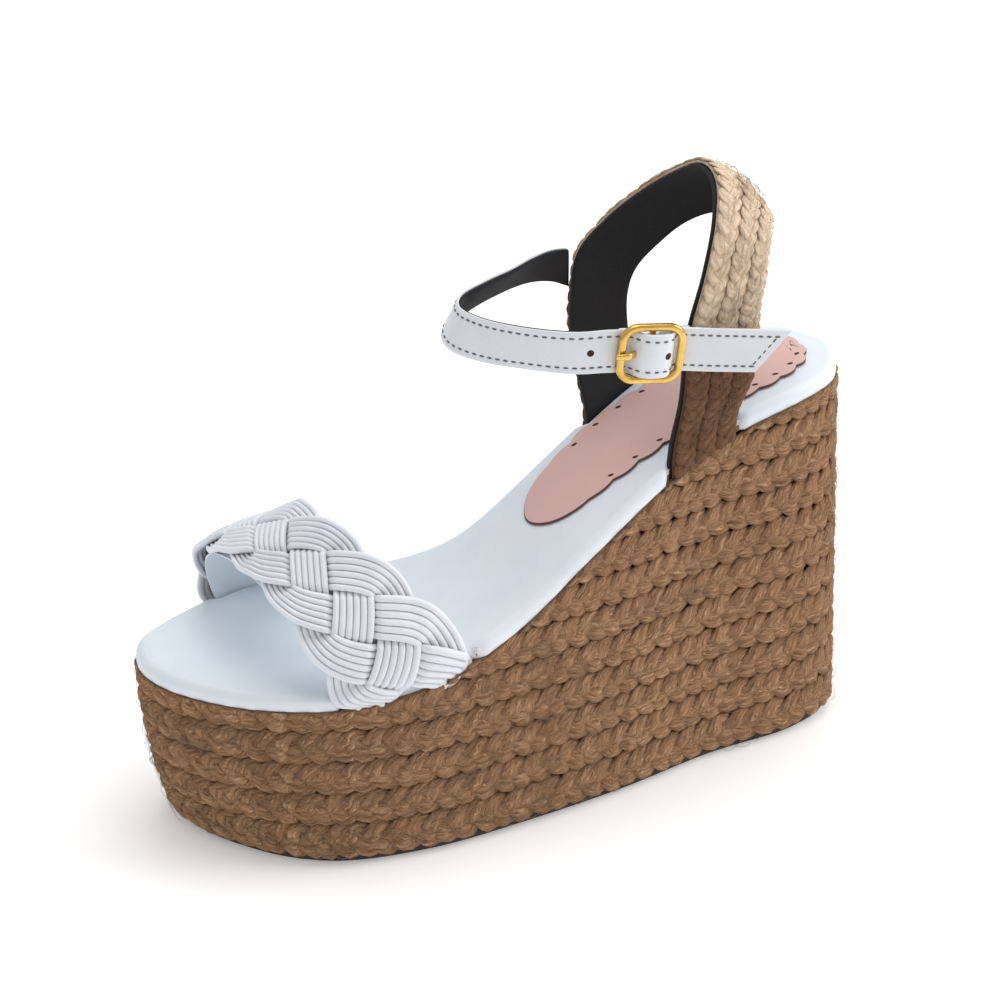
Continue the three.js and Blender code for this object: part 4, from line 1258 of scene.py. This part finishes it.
# %% Prong
prong_line = Line([
    (-0.6, 1.0), (-2.2, 0.1), (-3.6, -0.3), (-5.4, 0.4), (-SIDE_BAR + 2.0, 1.8),
    (-SIDE_BAR, 2.15), (-SIDE_BAR - 2.2, 1.95),
])


def prong_place(a, b):
    path = prong_line.at(a)
    step = prong_line.at(np.minimum(a + 0.01, 1)) - prong_line.at(np.maximum(a - 0.01, 0))
    across = unit(step)
    slim = 1 - 0.28 * ease(0.75, 1, a)
    aside, lift = wire_section(b, 1.1, 0.62)
    point = path + np.stack([-across[:, 1], across[:, 0]], axis=-1) * (lift * slim)[:, None]
    return from_buckle(np.stack([point[:, 0], aside * slim, point[:, 1]], axis=-1))


def eye_place(a, b):
    angle = FULL_TURN * a
    aside, lift = wire_section(b, 1.1, 0.42)
    radius = 1.65 + lift
    return from_buckle(np.stack([
        radius * np.cos(angle), aside, radius * np.sin(angle) - 1], axis=-1))


prong = weld(
    [grid_mesh("arm", 40, 16, prong_place, (12, 5)), grid_mesh("eye", 28, 12, eye_place, (10, 5))],
    "buckle_pin",
)
settle(prong, "buckle_prong", "buckle_prong", "gold_metal", gilt)
print("prong: %.1f mm from bar to tip" % prong_line.length)

# %% [markdown]
# ## Ankle strap
# The ankle strap starts at its slanted tip behind the heel strap, dives under the buckle's heel-side bar,
# climbs over the centre bar, dives under the toe-side bar and goes round the ankle. The
# leather is slightly domed, with a shallow groove along each row of stitches.

# %% The strap's route
ANKLE_AXIS = np.array([15.0, -4.0, 0.0])
DIVE = SIDE_BAR - 1.1 - 1
HALF = 13.5 / 2


def through_buckle(along, outward):
    at = from_buckle(np.array([along, 0, outward]))
    return at, np.array(bar_axis)


def round_ankle(from_heel, y, over, lean_degrees):
    at = np.array(heel_point(from_heel, y, over))
    inward = ANKLE_AXIS - at
    inward[2] = 0
    inward /= np.linalg.norm(inward)
    lean = math.radians(lean_degrees)
    return at, np.array([0, 0, math.cos(lean)]) + inward * math.sin(lean)


def on_strap(along):
    return UNDER_BAR + (along - SIDE_BAR) * math.sin(YAW)


route = [
    through_buckle(42.5, on_strap(42.5)), through_buckle(30, on_strap(30)),
    through_buckle(20, on_strap(20)), through_buckle(SIDE_BAR + 1.5, UNDER_BAR - 0.2),
    through_buckle(DIVE + 0.55, UNDER_BAR - 0.3), through_buckle(DIVE - 0.75, -0.9),
    through_buckle(0.6 * DIVE, OVER_BAR - 0.8), through_buckle(0, OVER_BAR),
    through_buckle(-0.38 * DIVE, OVER_BAR - 0.7), through_buckle(-0.68 * DIVE, -0.9),
    through_buckle(-DIVE, UNDER_BAR - 0.4), through_buckle(-SIDE_BAR - 1.5, UNDER_BAR - 0.2),
    through_buckle(-13, UNDER_BAR - 0.2), round_ankle(102, -31, 29.5, -2),
    round_ankle(114, -23.5, 30, -4), round_ankle(123.5, -11.5, 29.5, 4),
    round_ankle(127, -1, 29.5, 15), round_ankle(124.5, 6, 30.5, 26),
    round_ankle(116, 10, 32.5, 34), round_ankle(105, 14, 33.8, 37),
    round_ankle(94, 19, 33.8, 35), round_ankle(85, 23, 32, 24), round_ankle(78.9, 25.2, 29.5, 10),
]
ankle_ribbon = Ribbon(
    [at + up * HALF for at, up in route], [at - up * HALF for at, up in route],
)
split = float(np.interp(12 / 22, ankle_ribbon.share, ankle_ribbon.run)) - 3.5
print("ankle strap: %.0f mm long, %.0f mm of it tail" % (ankle_ribbon.length, split))


# %% Leather, lining and tail
def strap_layer(name, start, end, low, high, slant=0.0, crown=0.0, inset=0.0, rows=120):
    def place(a, b):
        across, height = strap_section(b, HALF - inset, low, high, 0.16 if crown else 0, crown)
        begin = start + slant * (0.5 - across / (2 * HALF))
        return ankle_ribbon.place(begin + a * (end - begin), across, -height)

    return grid_mesh(name, rows, 44, place, (end - start, 30))


outer = weld(
    [strap_layer("outer", split, ankle_ribbon.length, 0.0, 0.85, crown=0.15)], "ankle_outer",
)
settle(outer, "ankle_strap", "ankle_strap", "white_leather", strap_leather)
inner = weld(
    [strap_layer("inner", split, ankle_ribbon.length, -0.9, -0.02, inset=0.15)], "ankle_inside",
)
settle(inner, "ankle_strap", "ankle_strap_lining", "black_lining", black_lining)
tail = weld(
    [
        strap_layer("tail_outer", 0.0, split, 0.0, 0.85, slant=9.5, crown=0.15, rows=150),
        strap_layer("tail_inner", 0.15, split, -0.9, -0.02, slant=9.5, inset=0.15, rows=150),
    ],
    "ankle_tail",
)
settle(tail, "ankle_strap", "ankle_strap_tail", "white_leather", strap_leather)
print("ankle strap: outer, lining and tail, %.1f mm wide" % (2 * HALF))

# %% [markdown]
# Both edges and the slanted tip are stitched in dark thread. Each stitch is a small stretched ball, half
# sunk in its groove. The punched holes are dark discs just proud of the leather; their dark colour is
# painted shade.

# %% Stitches
SLANT = 9.5
STITCH_PITCH = 2.55


def stitch(target, distance, sideways, ahead_distance, ahead_sideways):
    where = np.array([distance, ahead_distance])
    side = np.array([sideways, ahead_sideways])
    points = ankle_ribbon.place(where, side, np.array([-0.9, -0.9]))
    away = unit(points - ankle_ribbon.place(where, side, np.array([0.0, 0.0])))[0]
    run = unit(points[1] - points[0])
    rise = unit(np.cross(away, run))
    turn = Matrix((Vector(run), Vector(rise), Vector(away))).transposed().to_4x4()
    bmesh.ops.create_uvsphere(
        target, u_segments=8, v_segments=5, radius=MM,
        matrix=Matrix.Translation(Vector(points[0]) * MM) @ turn
        @ Matrix.Diagonal((0.85, 0.3, 0.22, 1)),
    )


def loose_mesh(name, shaped_bmesh):
    mesh = bpy.data.meshes.new(name)
    for face in shaped_bmesh.faces:
        face.smooth = True
    shaped_bmesh.to_mesh(mesh)
    shaped_bmesh.free()
    piece = bpy.data.objects.new(name, mesh)
    bpy.context.scene.collection.objects.link(piece)
    return piece


seam = HALF - 2.0
stitches = bmesh.new()
for side in (-1, 1):
    first = 2.6 + SLANT * (0.5 - side * seam / (2 * HALF))
    for distance in np.arange(first, ankle_ribbon.length - 1.5, STITCH_PITCH):
        stitch(stitches, distance, side * seam, distance + 0.5, side * seam)
for share in np.linspace(0.12, 0.88, 5):
    sideways = seam * (2 * share - 1)
    distance = 2.6 + SLANT * (0.5 - sideways / (2 * HALF))
    stitch(stitches, distance, sideways, distance - 0.352, sideways + 0.5)
stitching = loose_mesh("ankle_stitches", stitches)
settle(stitching, "ankle_strap", None, "white_leather", thread)
print("stitches: %d faces" % len(stitching.data.polygons))

# %% [markdown]
# Two holes show: one beyond the buckle and one inside its frame.

# %% Strap holes
bar_distance = float(ankle_ribbon.run[np.argmin(np.abs(ankle_ribbon.share - 7 / 22))])
punches = bmesh.new()
for offset in (19.9, -4.1):
    place_at = np.array([bar_distance + offset, bar_distance + offset + 0.5])
    flat = np.zeros(2)
    spot = ankle_ribbon.place(place_at, flat, np.array([-0.98, -0.98]))
    away = unit(spot - ankle_ribbon.place(place_at, flat, np.zeros(2)))[0]
    run = unit(spot[1] - spot[0])
    turn = Matrix((Vector(run), Vector(unit(np.cross(away, run))), Vector(away))).transposed().to_4x4()
    bmesh.ops.create_cone(
        punches, cap_ends=True, segments=20, radius1=1.15 * MM, radius2=1.0 * MM, depth=0.12 * MM,
        matrix=Matrix.Translation(Vector(spot[0]) * MM) @ turn,
    )
# The discs' dark colour is painted shade, the shade inside each hole.
strap_holes = loose_mesh("strap_holes", punches)
settle(strap_holes, "ankle_strap", None, "black_lining", punched)
print("strap holes: 2")

# %% [markdown]
# ## Studio
# A pale floor that runs into a pale world gives the plain bright setting of a product shot. A
# large soft light overhead and one from the heel side shape the cords and the plait. The
# camera is a long lens a good metre away, above the toe and to the outer side.

# %% Floor, lights and camera
scene = bpy.context.scene
scene.view_settings.view_transform = "Standard"
floor_mesh = bmesh.new()
bmesh.ops.create_grid(floor_mesh, x_segments=1, y_segments=1, size=3.0)
floor = loose_mesh("floor", floor_mesh)
paper = plain_finish("floor_paper", (0.93, 0.93, 0.93), (0.96, 0.96, 0.96), 0.9, 3, 0.0001)
glow = paper.node_tree.nodes["Principled BSDF"].inputs
glow["Emission Color"].default_value = (1, 1, 1, 1)
glow["Emission Strength"].default_value = 0.22
floor.data.materials.append(paper)

world = bpy.data.worlds.new("studio")
scene.world = world
world.use_nodes = True
world.node_tree.nodes["Background"].inputs["Color"].default_value = (1, 1, 1, 1)
world.node_tree.nodes["Background"].inputs["Strength"].default_value = 0.6


def area_light(name, place, aim, size, power):
    lamp = bpy.data.lights.new(name, "AREA")
    lamp.size = size
    lamp.energy = power
    lit = bpy.data.objects.new(name, lamp)
    lit.location = place
    lit.rotation_euler = (Vector(aim) - Vector(place)).to_track_quat("-Z", "Y").to_euler()
    scene.collection.objects.link(lit)


centre = (0, 0, 0.08)
area_light("top_softbox", (0.15, 0.2, 1.3), centre, 0.9, 7)
area_light("right_softbox", (1.1, -0.35, 0.7), centre, 0.7, 7)

AZIMUTH = math.radians(-23.77)
ELEVATION = math.radians(27.31)
DISTANCE = 1.1926
look_at = Vector((0.00413, 0.00849, 0.08631))
back = Vector((
    math.sin(AZIMUTH) * math.cos(ELEVATION), -math.cos(AZIMUTH) * math.cos(ELEVATION),
    math.sin(ELEVATION),
))
lens = bpy.data.cameras.new("camera")
lens.lens = 141.43
lens.sensor_width = 36
camera = bpy.data.objects.new("camera", lens)
camera.location = look_at + back * DISTANCE
camera.rotation_euler = (-back).to_track_quat("-Z", "Y").to_euler()
scene.collection.objects.link(camera)
scene.camera = camera
print("camera: %.1f mm lens at %.2f m" % (lens.lens, DISTANCE))
